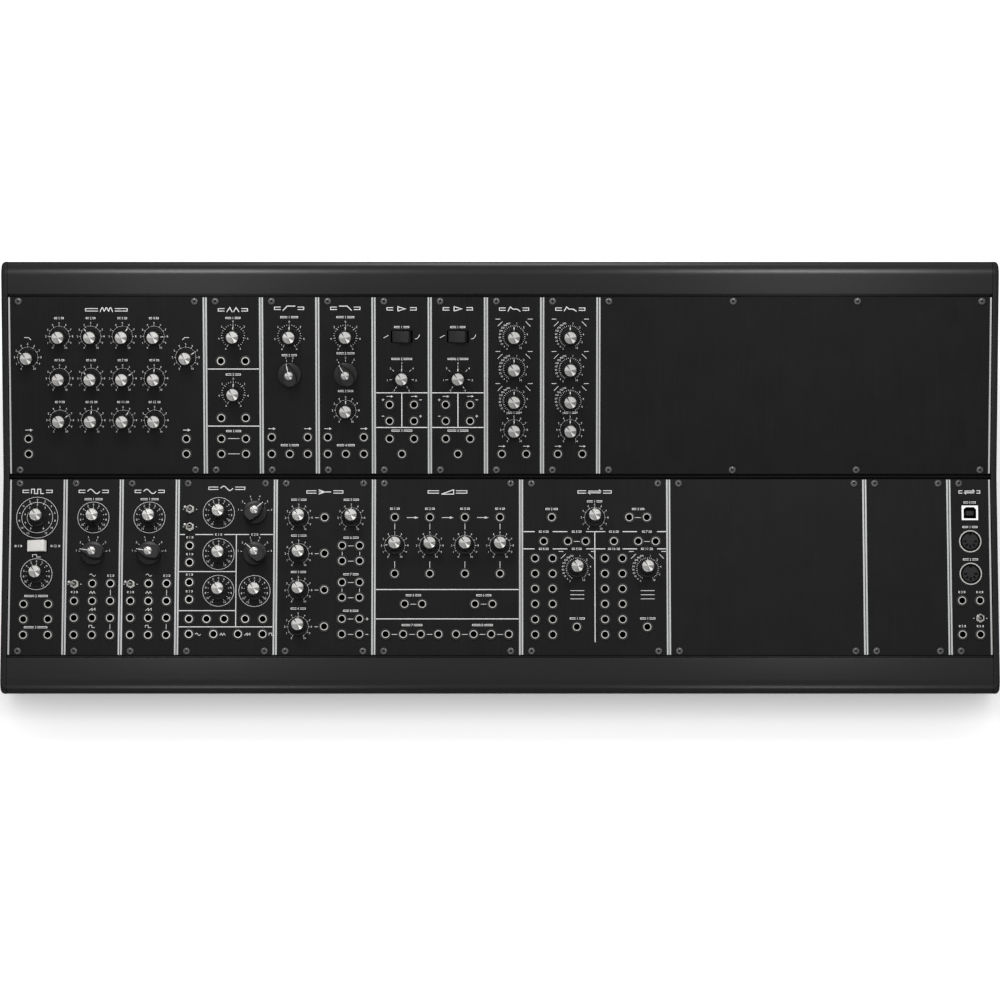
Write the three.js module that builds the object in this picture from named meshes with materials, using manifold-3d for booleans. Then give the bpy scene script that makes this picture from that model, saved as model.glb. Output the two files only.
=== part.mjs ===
// Two-row modular synthesizer in a kinked metal case, standing on its folding stand.
// Millimetres. +X to the player's right, +Y to the rear, +Z up; the origin is on the table
// under the middle of the case.
import * as THREE from 'three';
import { mergeVertices } from 'three/addons/utils/BufferGeometryUtils.js';
import Module from 'manifold-3d';

const wasm = await Module();
wasm.setup();

// Rack format: one horizontal pitch, pitches in a row, and the panel plates.
const pitch = 5.08;
const row_pitches = 140;
const panel_height = 128.5;
const panel_thickness = 2;
const side_gap = 0.3;
const seat_gap = 0.3;

// Case: two faces that meet at a kink, which is concave on top.
const lower_tilt = THREE.MathUtils.degToRad(20);
const kink_turn = THREE.MathUtils.degToRad(15.3);
const upper_tilt = lower_tilt + kink_turn;
const case_depth = 58;
const wall = 3;
const wall_lean = THREE.MathUtils.degToRad(12);
const kink_gap = 2;
const lower_bezel = 15.6;
const lower_bezel_gap = 2;
const upper_bezel = 12.8;
const upper_bezel_gap = 2.2;
const bezel_rise = 1.5;
const nose_radius = 9.4;
const heel_radius = 6;
const lip_width = 16;
const rail_overlap = 9.5;
const rail_height = 8;
const ridge_width = 1.2;
const tray_thickness = 2;
const cheek_thickness = 4.8;
const cheek_rise = 0.8;
const cheek_fillet = 3;

// Rubber strips under the case, each set in from the row's ends.
const strip_inset = 35.6;
const strip_width = 12;
const strip_height = 6.5;
const strip_flat = 5;
const front_strip_inset = 10;
const kink_strip_inset = 6;
const strip_chamfer = 2;

// Folding stand: arms, cross tube with a rubber sleeve, and clevis brackets.
const stand_lean = THREE.MathUtils.degToRad(5);
const stand_inset = 65.6;
const hinge_inset = 21.5;
const hinge_drop = 9.5;
const arm_thickness = 5;
const arm_half_width = 5;
const tube_radius = 4;
const sleeve_radius = 6;
const sleeve_drop = 5.5;
const sleeve_clearance = 0.45;
const pin_radius = 2.4;
const pin_clearance = 0.4;
const ear_thickness = 3;
const ear_clearance = 0.4;
const bracket_base = 2.8;
const bracket_half_length = 13;
const bracket_flange = 8;
const stop_thickness = 3.5;
const stop_start = 6;
const stop_end = 12;

// Circuit boards: one behind each module, and the bus board on the tray.
const board_depth = 10;
const board_thickness = 1.6;
const board_height = 104.5;
const board_inset = 2;
const post_width = 4;
const post_inset = 4.5;
const post_row_share = 0.24;
const bus_inset = 35.6;
const bus_width = 40;
const bus_place_share = 0.4;
const bus_post_height = 6;
const bus_post_width = 6;
const connector_count = 12;
const connector_length = 33;
const connector_width = 9;
const connector_height = 9;

// Jack socket: nut collar with its bore through the panel.
const collar_radius = 4;
const collar_height = 1.8;
const bore_radius = 2;
const jack_sides = 6;

// Round knob on a pot shaft.
const knob_skirt_radius = 6.75;
const knob_skirt_height = 2.2;
const knob_waist_radius = 5.2;
const knob_waist_height = 4;
const knob_cap_radius = 4.3;
const knob_height = 15;
const knob_lift = 0.4;
const knob_sides = 12;
const fixed_knob_sides = 8;
const pointer_rib_width = 1.1;
const pointer_rib_height = 3.2;
const shaft_radius = 3;
const shaft_clearance = 0.6;
const shaft_depth = 8.5;
const shaft_sides = 8;
const embed = 0.5;

// Pointer knob on a rotary switch: a disc with a shaped grip and a small metal cap.
const disc_radius = 8.6;
const disc_height = 3;
const grip_height = 13.6;
const dome_radius = 3.35;
const dome_rise = 1.2;
const disc_sides = 16;
const grip_outline_shares = [
  [0, 1], [9, 0.99], [20, 0.72], [45, 0.56], [90, 0.56], [125, 0.66], [152, 0.95], [180, 0.99],
];

// Rocker switch: cap, pocket and the housing behind the panel.
const rocker_length = 14;
const rocker_width = 8.1;
const rocker_height = 8.1;
const rocker_swing_room = 0.9;
const rocker_side_room = 0.35;
const rocker_pocket_depth = 7;
const rocker_housing_wall = 0.9;
const rocker_outline_shares = [
  [-0.5, 0.03], [-0.47, 0.12], [0.34, 0.57], [0.5, 0.1], [0.5, -0.12], [-0.5, -0.12],
];

// Lever switch: nut, bushing and bat lever.
const nut_radius = 3.3;
const nut_height = 1.5;
const bushing_radius = 2.5;
const bushing_height = 3.5;
const bushing_bore_radius = 1.95;
const lever_pivot_height = 0.6;
const lever_ball_radius = 1.25;
const lever_neck_radius = 0.7;
const lever_tip_radius = 0.95;
const lever_reach = 13;
const lever_tilt = THREE.MathUtils.degToRad(14);
const lever_sides = 8;

// Round five-pin socket and square USB socket.
const din_ring_radius = 8.15;
const din_ring_rise = 1;
const din_groove = 1.2;
const din_groove_depth = 1.5;
const din_pin_circle = 3.75;
const din_pin_radius = 0.9;
const din_pin_sides = 4;
const din_pin_angles = [-90, -45, 0, 45, 90];
const din_sides = 12;
const usb_frame_width = 11.8;
const usb_frame_height = 10.6;
const usb_frame_rise = 0.8;
const usb_mouth_width = 8.5;
const usb_mouth_height = 8.3;
const usb_depth = 8;
const usb_tongue_width = 5.6;
const usb_tongue_height = 3.2;
const usb_tongue_recess = 1;

// Power plate behind the rear wall: DC inlet and rocker power switch.
const power_inset = 85.6;
const power_plate_length = 74;
const power_plate_height = 28;
const power_plate_thickness = 2;
const power_window_length = 62;
const power_window_height = 18;
const power_mouth_recess = 3;
const inlet_offset = 20;
const inlet_radius = 5.5;
const inlet_bore_radius = 3.2;
const inlet_pin_radius = 1;
const inlet_depth = 10;
const power_rocker_offset = 14;
const power_rocker_length = 19;
const power_rocker_width = 11;
const power_rocker_height = 5;

// A small length that carries every cut past its surface, and the welding distance.
const overrun = 1;
const weld = 1e-4;

// Every pairing of the given column and row shares.
function pairs(column_shares, row_shares) {
  return column_shares.flatMap((column) => row_shares.map((row) => [column, row]));
}

// The modules from left to right. Places are [share of the panel's width from its left edge,
// share of its height from its top edge]; turns are the pointer's degrees clockwise from top.
const upper_row = [
  {
    name: 'filter_bank',
    pitches: 28,
    knob_shares: pairs([0.259, 0.42, 0.58, 0.741], [0.222, 0.459, 0.696]),
    jack_shares: pairs([0.098, 0.902], [0.801, 0.886]),
    controls: [
      { name: 'filter_bank_low_knob', kind: 'knob', place_share: [0.098, 0.34], turn: -60 },
      { name: 'filter_bank_high_knob', kind: 'knob', place_share: [0.902, 0.34], turn: 60 },
    ],
  },
  {
    name: 'filters',
    pitches: 8,
    knob_shares: [[0.5, 0.543]],
    jack_shares: pairs([0.282, 0.718], [0.36, 0.682, 0.8, 0.886]),
    controls: [{ name: 'filters_cutoff_knob', kind: 'knob', place_share: [0.5, 0.22], turn: 0 }],
  },
  {
    name: 'high_pass',
    pitches: 8,
    jack_shares: [...pairs([0.179, 0.821], [0.791, 0.886]), [0.5, 0.886]],
    controls: [
      { name: 'high_pass_cutoff_knob', kind: 'knob', place_share: [0.5, 0.222], turn: 0 },
      { name: 'high_pass_range_pointer', kind: 'pointer', place_share: [0.5, 0.437], turn: -12 },
    ],
  },
  {
    name: 'low_pass',
    pitches: 8,
    knob_shares: [[0.5, 0.64]],
    jack_shares: [...pairs([0.179, 0.821], [0.791, 0.886]), [0.5, 0.886]],
    controls: [
      { name: 'low_pass_cutoff_knob', kind: 'knob', place_share: [0.5, 0.222], turn: 0 },
      { name: 'low_pass_range_pointer', kind: 'pointer', place_share: [0.5, 0.437], turn: -30 },
    ],
  },
  ...[1, 2].map((number) => ({
    name: `amplifier_${number}`,
    pitches: 8,
    jack_shares: [...pairs([0.282, 0.718], [0.607, 0.7, 0.8]), [0.5, 0.886]],
    controls: [
      { name: `amplifier_${number}_rocker`, kind: 'rocker', place_share: [0.5, 0.223] },
      { name: `amplifier_${number}_gain_knob`, kind: 'knob', place_share: [0.5, 0.456], turn: 0 },
    ],
  })),
  ...[1, 2].map((number) => ({
    name: `envelope_${number}`,
    pitches: 8,
    knob_shares: pairs([0.5], [0.405, 0.587, 0.75]),
    jack_shares: pairs([0.282, 0.718], [0.886]),
    controls: [
      { name: `envelope_${number}_attack_knob`, kind: 'knob', place_share: [0.5, 0.223], turn: 0 },
    ],
  })),
  { name: 'upper_blank', pitches: 56 },
];
const lower_row = [
  {
    name: 'oscillator_driver',
    pitches: 8,
    knob_shares: [[0.5, 0.541]],
    jack_shares: pairs([0.281, 0.719], [0.712, 0.798, 0.886]),
    controls: [
      { name: 'oscillator_driver_tune_knob', kind: 'knob', place_share: [0.5, 0.219], turn: 0 },
      { name: 'oscillator_driver_rocker', kind: 'rocker', place_share: [0.5, 0.381], pale: true },
    ],
  },
  ...[1, 2].map((number) => ({
    name: `oscillator_${number}`,
    pitches: 8,
    knob_shares: [[0.5, 0.218]],
    jack_shares: [
      ...pairs([0.5, 0.821], [0.595, 0.694, 0.79, 0.886]),
      ...pairs([0.179], [0.694, 0.79, 0.886]),
    ],
    controls: [
      { name: `oscillator_${number}_range_pointer`, kind: 'pointer', place_share: [0.5, 0.423],
        turn: -80 },
      { name: `oscillator_${number}_lever`, kind: 'lever', place_share: [0.179, 0.598] },
    ],
  })),
  {
    name: 'main_oscillator',
    pitches: 14,
    knob_shares: [[0.42, 0.427], [0.42, 0.635], [0.789, 0.637]],
    pointers: [{ place_share: [0.789, 0.424], turn: -47 }],
    levers: [{ place_share: [0.127, 0.272] }],
    jack_shares: [
      ...pairs([0.127], [0.38, 0.476, 0.588, 0.686]),
      ...pairs([0.127, 0.306, 0.485, 0.699, 0.877], [0.796]),
      ...pairs([0.127, 0.378, 0.627, 0.877], [0.882]),
    ],
    controls: [
      { name: 'main_oscillator_tune_knob', kind: 'knob', place_share: [0.42, 0.192], turn: 0 },
      { name: 'main_oscillator_range_pointer', kind: 'pointer', place_share: [0.789, 0.19],
        turn: 48 },
      { name: 'main_oscillator_lever', kind: 'lever', place_share: [0.127, 0.171] },
    ],
  },
  {
    name: 'mixer',
    pitches: 14,
    knob_shares: pairs([0.236], [0.219, 0.424, 0.631, 0.839]),
    jack_shares: [
      ...pairs([0.5], [0.219, 0.424, 0.631, 0.839]),
      ...pairs([0.68, 0.858], [0.38, 0.467, 0.588, 0.675, 0.795, 0.882]),
    ],
    controls: [{ name: 'mixer_master_knob', kind: 'knob', place_share: [0.77, 0.219], turn: 0 }],
  },
  {
    name: 'attenuators',
    pitches: 21,
    knob_shares: pairs([0.381, 0.619, 0.857], [0.377]),
    jack_shares: [
      ...pairs([0.143, 0.381, 0.619, 0.857], [0.219, 0.539]),
      ...pairs([0.211, 0.33, 0.687, 0.806], [0.711]),
      ...pairs([0.083, 0.202, 0.322, 0.441, 0.56, 0.678, 0.798, 0.917], [0.882]),
    ],
    controls: [{ name: 'attenuator_knob', kind: 'knob', place_share: [0.143, 0.377], turn: -90 }],
  },
  {
    name: 'interface',
    pitches: 21,
    knob_shares: pairs([0.381, 0.858], [0.51]),
    jack_shares: [
      ...pairs([0.208, 0.735, 0.854], [0.219]),
      ...pairs([0.154, 0.318, 0.438, 0.63, 0.795, 0.913], [0.355]),
      ...pairs([0.095, 0.214, 0.568, 0.687], [0.452, 0.539, 0.625, 0.711, 0.798, 0.885]),
      ...pairs([0.378, 0.852], [0.841]),
    ],
    controls: [{ name: 'interface_level_knob', kind: 'knob', place_share: [0.5, 0.218], turn: 0 }],
  },
  { name: 'wide_blank', pitches: 28 },
  { name: 'narrow_blank', pitches: 12 },
  {
    name: 'midi',
    pitches: 6,
    usb_share: [0.502, 0.192],
    din_shares: pairs([0.502], [0.355, 0.539]),
    jack_shares: pairs([0.285, 0.709], [0.692, 0.884]),
    controls: [{ name: 'midi_lever', kind: 'lever', place_share: [0.712, 0.791] }],
  },
];

// A closed solid from a geometry, with its shared corners welded.
function solid(geometry) {
  const bare = geometry.clone();
  bare.deleteAttribute('normal');
  bare.deleteAttribute('uv');
  const welded = mergeVertices(bare, weld);
  const corners = welded.index.array;
  const kept = [];
  for (let i = 0; i < corners.length; i += 3) {
    const [a, b, c] = corners.slice(i, i + 3);
    if (a !== b && b !== c && c !== a) kept.push(a, b, c);
  }
  return new wasm.Manifold(new wasm.Mesh({
    numProp: 3,
    vertProperties: welded.attributes.position.array,
    triVerts: new Uint32Array(kept),
  }));
}

// A closed solid from a geometry that is moved to a place on its panel.
function solidAt(geometry, x, y) {
  return solid(geometry.translate(x, y, 0));
}

// A named mesh from a solid, in its own finish.
function piece(name, body, finish) {
  const facets = body.getMesh();
  const geometry = new THREE.BufferGeometry();
  geometry.setAttribute('position', new THREE.BufferAttribute(facets.vertProperties, 3));
  geometry.setIndex(new THREE.BufferAttribute(facets.triVerts, 1));
  geometry.computeVertexNormals();
  const mesh = new THREE.Mesh(geometry, new THREE.MeshStandardMaterial(finish));
  mesh.name = name;
  return mesh;
}

// Finishes.
const anodised_black = { color: 0x303132, roughness: 0.45, metalness: 0.6 };
const printed_black = { color: 0x222222, roughness: 0.5, metalness: 0.3 };
const moulded_black = { color: 0x1c1c1c, roughness: 0.5, metalness: 0 };
const moulded_white = { color: 0xd8d6d2, roughness: 0.45, metalness: 0 };
const bare_steel = { color: 0xbdb9b2, roughness: 0.3, metalness: 1 };
const coated_steel = { color: 0x2a2b2c, roughness: 0.6, metalness: 0.5 };
const black_rubber = { color: 0x161616, roughness: 0.9, metalness: 0 };
const board_green = { color: 0x1d4a34, roughness: 0.6, metalness: 0 };

// A box given by its width, its height and its lowest and highest Z.
function slab(width, height, low, high) {
  return new THREE.BoxGeometry(width, height, high - low).translate(0, 0, (low + high) / 2);
}

// An upright prism with regular sides.
function prism(sides, radius, low, high) {
  const geometry = new THREE.CylinderGeometry(radius, radius, high - low, sides);
  return geometry.rotateX(Math.PI / 2).translate(0, 0, (low + high) / 2);
}

// A turned shape from [radius, height] points that start and end on the axis.
function turned(profile, sides) {
  const points = profile.map(([radius, height]) => new THREE.Vector2(radius, height));
  return new THREE.LatheGeometry(points, sides).rotateX(Math.PI / 2);
}

// A closed outline through corners [x, y, radius], each rounded by its radius.
function roundedOutline(corners) {
  const outline = new THREE.Shape();
  corners.forEach(([x, y, radius], i) => {
    const corner = new THREE.Vector2(x, y);
    const before = corners.at(i - 1);
    const after = corners[(i + 1) % corners.length];
    const back = new THREE.Vector2(before[0], before[1]).sub(corner).normalize();
    const ahead = new THREE.Vector2(after[0], after[1]).sub(corner).normalize();
    if (radius) {
      const half = Math.acos(back.dot(ahead)) / 2;
      const tangent = radius / Math.tan(half);
      const centre = back.clone().add(ahead).setLength(radius / Math.sin(half)).add(corner);
      const start = back.clone().setLength(tangent).add(corner);
      const end = ahead.clone().setLength(tangent).add(corner);
      const clockwise = back.cross(ahead) > 0;
      const from = start.clone().sub(centre).angle();
      if (i > 0) outline.lineTo(start.x, start.y);
      outline.absarc(centre.x, centre.y, radius, from, end.sub(centre).angle(), clockwise);
    } else if (i === 0) {
      outline.moveTo(x, y);
    } else {
      outline.lineTo(x, y);
    }
  });
  return outline;
}

// A profile in the (Y, Z) plane carried along X, centred on X = 0.
const profile_frame = new THREE.Matrix4().makeBasis(
  new THREE.Vector3(0, 1, 0),
  new THREE.Vector3(0, 0, 1),
  new THREE.Vector3(1, 0, 0),
);
const arc_steps = 5;
function alongX(outline, length) {
  const options = { depth: length, bevelEnabled: false, curveSegments: arc_steps };
  const geometry = new THREE.ExtrudeGeometry(outline, options);
  return geometry.translate(0, 0, -length / 2).applyMatrix4(profile_frame);
}

// Points of the two faces in the case's (Y, Z) plane, whose origin is the kink line: reach is
// measured along a face away from the kink, and rise is square to it, out of the case.
function lowerPoint(reach, rise) {
  return [
    -reach * Math.cos(lower_tilt) - rise * Math.sin(lower_tilt),
    -reach * Math.sin(lower_tilt) + rise * Math.cos(lower_tilt),
  ];
}
function upperPoint(reach, rise) {
  return [
    reach * Math.cos(upper_tilt) - rise * Math.sin(upper_tilt),
    reach * Math.sin(upper_tilt) + rise * Math.cos(upper_tilt),
  ];
}
function kinkPoint(rise) {
  return lowerPoint(rise * Math.tan(kink_turn / 2), rise);
}

// How far from the kink a leaning end wall is at a rise, moved out by a distance square to it.
function wallReach(nose_end, rise, out) {
  return nose_end + (rise - bezel_rise) * Math.tan(wall_lean) + out / Math.cos(wall_lean);
}

// Places shared by the case's pieces.
const row_width = pitch * row_pitches;
const strip_length = row_width - strip_inset * 2;
const stand_half_span = row_width / 2 - stand_inset;
const bus_length = row_width - bus_inset * 2;
const power_place = row_width / 2 - power_inset;
const panel_end = kink_gap + panel_height;
const nose_reach = nose_radius / Math.tan(Math.PI / 4 - wall_lean / 2);
const lower_end = panel_end + lower_bezel_gap + lower_bezel + nose_reach;
const upper_end = panel_end + upper_bezel_gap + upper_bezel + nose_reach;
const lower_base = wallReach(lower_end, -case_depth, 0);
const upper_base = wallReach(upper_end, -case_depth, 0);
const rail_top = -panel_thickness - seat_gap;
const tray_top = -case_depth + tray_thickness;
const rebate = heel_radius + seat_gap;
const hinge_place = upper_base - hinge_inset;

// Frame of the rear wall at the power plate's window, with its Z axis out of the wall.
const rear_wall = new THREE.Group();
rear_wall.rotation.set(Math.PI / 2 - wall_lean, Math.PI, 0);
rear_wall.position.set(-power_place, wallReach(upper_end, -case_depth / 2, 0), -case_depth / 2);
rear_wall.updateMatrix();

// Nose extrusion: bezel, rounded nose, a wall that leans in, heel and lip, with the rail under
// the panels' edge.
function noseOutline(bezel_start, nose_end, base) {
  const lip_low = tray_top + seat_gap;
  return roundedOutline([
    [bezel_start, bezel_rise, 0],
    [nose_end, bezel_rise, nose_radius],
    [base, -case_depth, heel_radius],
    [base - rebate, -case_depth, 0],
    [base - rebate, lip_low, 0],
    [base - rebate - lip_width, lip_low, 0],
    [base - rebate - lip_width, lip_low + wall, 0],
    [wallReach(nose_end, lip_low + wall, -wall), lip_low + wall, 0],
    [wallReach(nose_end, bezel_rise - wall, -wall), bezel_rise - wall, nose_radius - wall],
    [bezel_start + wall, bezel_rise - wall, 0],
    [bezel_start + wall, rail_top - rail_height, 0],
    [panel_end - rail_overlap, rail_top - rail_height, 0],
    [panel_end - rail_overlap, rail_top, 0],
    [bezel_start, rail_top, 0],
  ]);
}

function lowerNose() {
  const outline = noseOutline(panel_end + lower_bezel_gap, lower_end, lower_base);
  return piece('lower_nose_rail', solid(alongX(outline, row_width)), anodised_black);
}

// The upper nose has a window in its rear wall for the power plate.
function upperNose() {
  const outline = noseOutline(panel_end + upper_bezel_gap, upper_end, upper_base);
  const window_cut = slab(power_window_length, power_window_height, -wall - overrun, overrun);
  window_cut.applyMatrix4(rear_wall.matrix);
  const body = solid(alongX(outline, row_width)).subtract(solid(window_cut));
  return piece('upper_nose_rail', body, anodised_black);
}

// Centre rail: one seat under each row's edge and a thin ridge between the panels.
function centreRail() {
  const seat_end = kink_gap + rail_overlap;
  const rail_low = rail_top - rail_height;
  const outline = roundedOutline([
    [...upperPoint(seat_end, rail_top), 0],
    [...upperPoint(ridge_width / 2, rail_top), 0],
    [...upperPoint(ridge_width / 2, 0), 0],
    [...lowerPoint(ridge_width / 2, 0), 0],
    [...lowerPoint(ridge_width / 2, rail_top), 0],
    [...lowerPoint(seat_end, rail_top), 0],
    [...lowerPoint(seat_end, rail_low), 0],
    [...kinkPoint(rail_low), 0],
    [...upperPoint(seat_end, rail_low), 0],
  ]);
  return piece('centre_rail', solid(alongX(outline, row_width)), anodised_black);
}

// Tray: one folded sheet that closes the underside, set into both noses' rebates.
function tray() {
  const lower_edge = lower_base - rebate - seat_gap;
  const upper_edge = upper_base - rebate - seat_gap;
  const outline = roundedOutline([
    [...lowerPoint(lower_edge, -case_depth), 0],
    [...kinkPoint(-case_depth), 0],
    [...upperPoint(upper_edge, -case_depth), 0],
    [...upperPoint(upper_edge, tray_top), 0],
    [...kinkPoint(tray_top), 0],
    [...lowerPoint(lower_edge, tray_top), 0],
  ]);
  return piece('bottom_tray', solid(alongX(outline, row_width)), coated_steel);
}

// Cheek: end plate in the case's outline, a little proud of it, with a rounded outer edge.
function cheek(name, side) {
  const top = bezel_rise + cheek_rise;
  const foot = -case_depth - cheek_rise;
  const outline = roundedOutline([
    [...lowerPoint(wallReach(lower_end, top, cheek_rise), top), nose_radius + cheek_rise],
    [...kinkPoint(top), 0],
    [...upperPoint(wallReach(upper_end, top, cheek_rise), top), nose_radius + cheek_rise],
    [...upperPoint(wallReach(upper_end, foot, cheek_rise), foot), heel_radius + cheek_rise],
    [...kinkPoint(foot), 0],
    [...lowerPoint(wallReach(lower_end, foot, cheek_rise), foot), heel_radius + cheek_rise],
  ]);
  const flat = cheek_thickness - cheek_fillet;
  const options = {
    depth: flat * 2,
    bevelThickness: cheek_fillet,
    bevelSize: cheek_fillet,
    bevelOffset: -cheek_fillet,
    bevelSegments: arc_steps,
    curveSegments: arc_steps,
  };
  const plate = new THREE.ExtrudeGeometry(outline, options);
  plate.translate(0, 0, -flat).applyMatrix4(profile_frame);
  const reach = (lower_end + upper_end) * 2;
  const outer_half = new THREE.BoxGeometry(cheek_thickness + overrun, reach, reach);
  outer_half.translate(side * (cheek_thickness + overrun) / 2, 0, 0);
  const mesh = piece(name, solid(plate).intersect(solid(outer_half)), anodised_black);
  mesh.position.x = side * (row_width / 2 + seat_gap);
  return mesh;
}

// Front rubber strip: its outer corner is cut level, to lie flat on the table.
const strip_top = -case_depth - seat_gap;
const front_strip_reach = lower_base - front_strip_inset;
const strip_cut_depth = case_depth + strip_height - strip_flat * Math.sin(lower_tilt);
const kink_height = strip_cut_depth * Math.cos(lower_tilt) + front_strip_reach * Math.sin(lower_tilt);
function frontStrip() {
  const outline = roundedOutline([
    [...lowerPoint(front_strip_reach - strip_width, strip_top), 0],
    [...lowerPoint(front_strip_reach, strip_top), 0],
    [...lowerPoint(front_strip_reach, -strip_cut_depth), 0],
    [...lowerPoint(front_strip_reach - strip_flat * Math.cos(lower_tilt), -case_depth - strip_height), 0],
    [...lowerPoint(front_strip_reach - strip_width, -case_depth - strip_height), 0],
  ]);
  return piece('front_foot_strip', solid(alongX(outline, strip_length)), black_rubber);
}

// Kink rubber strip: carries the case when it lies flat with its stand folded.
function kinkStrip() {
  const low = -case_depth - strip_height;
  const outline = roundedOutline([
    [...lowerPoint(kink_strip_inset, strip_top), 0],
    [...lowerPoint(kink_strip_inset + strip_width, strip_top), 0],
    [...lowerPoint(kink_strip_inset + strip_width, low + strip_chamfer), 0],
    [...lowerPoint(kink_strip_inset + strip_width - strip_chamfer, low), 0],
    [...lowerPoint(kink_strip_inset + strip_chamfer, low), 0],
    [...lowerPoint(kink_strip_inset, low + strip_chamfer), 0],
  ]);
  return piece('kink_foot_strip', solid(alongX(outline, strip_length)), black_rubber);
}

// Stand: two flat arms with pin eyes, joined by a cross tube at their feet.
const [hinge_y, hinge_z] = upperPoint(hinge_place, -case_depth - hinge_drop);
const arm_length = (kink_height + hinge_z - sleeve_drop) / Math.cos(stand_lean);
const eye_radius = pin_radius + pin_clearance;
const bearing_sides = 12;
function stand() {
  const outline = roundedOutline([
    [-arm_half_width, arm_half_width, arm_half_width],
    [-arm_half_width, -arm_length - arm_half_width, arm_half_width],
    [arm_half_width, -arm_length - arm_half_width, arm_half_width],
    [arm_half_width, arm_half_width, arm_half_width],
  ]);
  const tube = prism(bearing_sides, tube_radius, -stand_half_span, stand_half_span);
  let body = solid(tube.rotateY(Math.PI / 2).translate(0, 0, -arm_length));
  for (const side of [-1, 1]) {
    const arm = alongX(outline, arm_thickness).translate(side * stand_half_span, 0, 0);
    const eye = prism(bearing_sides, eye_radius, -arm_thickness, arm_thickness).rotateY(Math.PI / 2);
    eye.translate(side * stand_half_span, 0, 0);
    body = body.add(solid(arm)).subtract(solid(eye));
  }
  return piece('stand', body, coated_steel);
}

// Rubber sleeve on the cross tube, cut level underneath.
function standSleeve() {
  const length = (stand_half_span - seat_gap) * 2 - arm_thickness;
  const sleeve = prism(bearing_sides, sleeve_radius, -length / 2, length / 2).rotateY(Math.PI / 2);
  const bore = prism(bearing_sides, tube_radius + sleeve_clearance, -length, length);
  const below = slab(length * 2, sleeve_radius * 2, -sleeve_radius - overrun, -sleeve_drop);
  const body = solid(sleeve).subtract(solid(bore.rotateY(Math.PI / 2))).subtract(solid(below));
  return piece('stand_sleeve', body, black_rubber);
}

// Clevis bracket, drawn about its pin: base plate, two ears, the pin and the stop for the arm.
function standBracket(name, side) {
  const leg_turn = stand_lean - upper_tilt;
  const base_top = hinge_drop - seat_gap;
  const base_low = base_top - bracket_base;
  const ear_inner = arm_thickness / 2 + ear_clearance;
  const ear_outer = ear_inner + ear_thickness;
  const stop_inner = arm_half_width + seat_gap;
  const stop_outer = stop_inner + stop_thickness;
  const legPoint = (along, across) => [
    across * Math.cos(leg_turn) + along * Math.sin(leg_turn),
    across * Math.sin(leg_turn) - along * Math.cos(leg_turn),
  ];
  const ear_top = base_low + bracket_base / 2;
  const ear_outline = roundedOutline([
    [-bracket_half_length, ear_top, 0],
    [-bracket_half_length, base_low, 0],
    [...legPoint(0, -arm_half_width), 0],
    [...legPoint(stop_end, -arm_half_width), 0],
    [...legPoint(stop_end, stop_outer), 0],
    [...legPoint(0, stop_outer), 0],
    [bracket_half_length, base_low, 0],
    [bracket_half_length, ear_top, 0],
  ]);
  let body = solid(slab((ear_outer + bracket_flange) * 2, bracket_half_length * 2, base_low, base_top));
  for (const ear_side of [-1, 1]) {
    const ear = alongX(ear_outline, ear_thickness);
    ear.translate(ear_side * (ear_inner + ear_outer) / 2, 0, 0);
    body = body.add(solid(ear));
  }
  const pin = prism(bearing_sides, pin_radius, -ear_outer + embed, ear_outer - embed).rotateY(Math.PI / 2);
  const stop = new THREE.BoxGeometry((ear_outer - embed) * 2, stop_thickness, stop_end - stop_start);
  stop.translate(0, (stop_inner + stop_outer) / 2, -(stop_start + stop_end) / 2).rotateX(leg_turn);
  body = body.add(solid(pin)).add(solid(stop));
  const mesh = piece(name, body, coated_steel);
  mesh.position.set(side * stand_half_span, hinge_place, -case_depth - hinge_drop);
  return mesh;
}

// Bus board on its posts, with a row of ribbon connectors.
function busBoard() {
  const post_low = tray_top + seat_gap;
  const board_low = post_low + bus_post_height;
  const board_high = board_low + board_thickness;
  let body = solid(slab(bus_length, bus_width, board_low, board_high));
  for (const [side_x, side_y] of pairs([-1, 1], [-1, 1])) {
    const post = slab(bus_post_width, bus_post_width, post_low, board_low + board_thickness / 2);
    post.translate(side_x * (bus_length / 2 - bus_post_width), side_y * (bus_width / 2 - bus_post_width), 0);
    body = body.add(solid(post));
  }
  const step = bus_length / connector_count;
  for (let i = 0; i < connector_count; i += 1) {
    const connector = slab(connector_length, connector_width, board_low + board_thickness / 2,
      board_high + connector_height);
    connector.translate(-bus_length / 2 + step * (i + 1 / 2), 0, 0);
    body = body.add(solid(connector));
  }
  const mesh = piece('bus_board', body, board_green);
  mesh.position.y = upper_end * bus_place_share;
  return mesh;
}

// A rocker's cap, drawn about the panel's surface with its right end up.
function rockerCap(length, width, height) {
  const outline = roundedOutline(rocker_outline_shares.map(([x, z]) => [x * length, z * height, 0]));
  const options = { depth: width, bevelEnabled: false };
  return new THREE.ExtrudeGeometry(outline, options).rotateX(Math.PI / 2).translate(0, width / 2, 0);
}

// The rocker's housing behind a surface, and the pocket that is cut into it.
function rockerHousing(length, width, high) {
  const room = rocker_housing_wall * 2;
  return slab(length + rocker_swing_room * 2 + room, width + rocker_side_room * 2 + room,
    -rocker_pocket_depth - rocker_housing_wall, high);
}
function rockerPocket(length, width, high) {
  return slab(length + rocker_swing_room * 2, width + rocker_side_room * 2, -rocker_pocket_depth, high);
}

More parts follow.
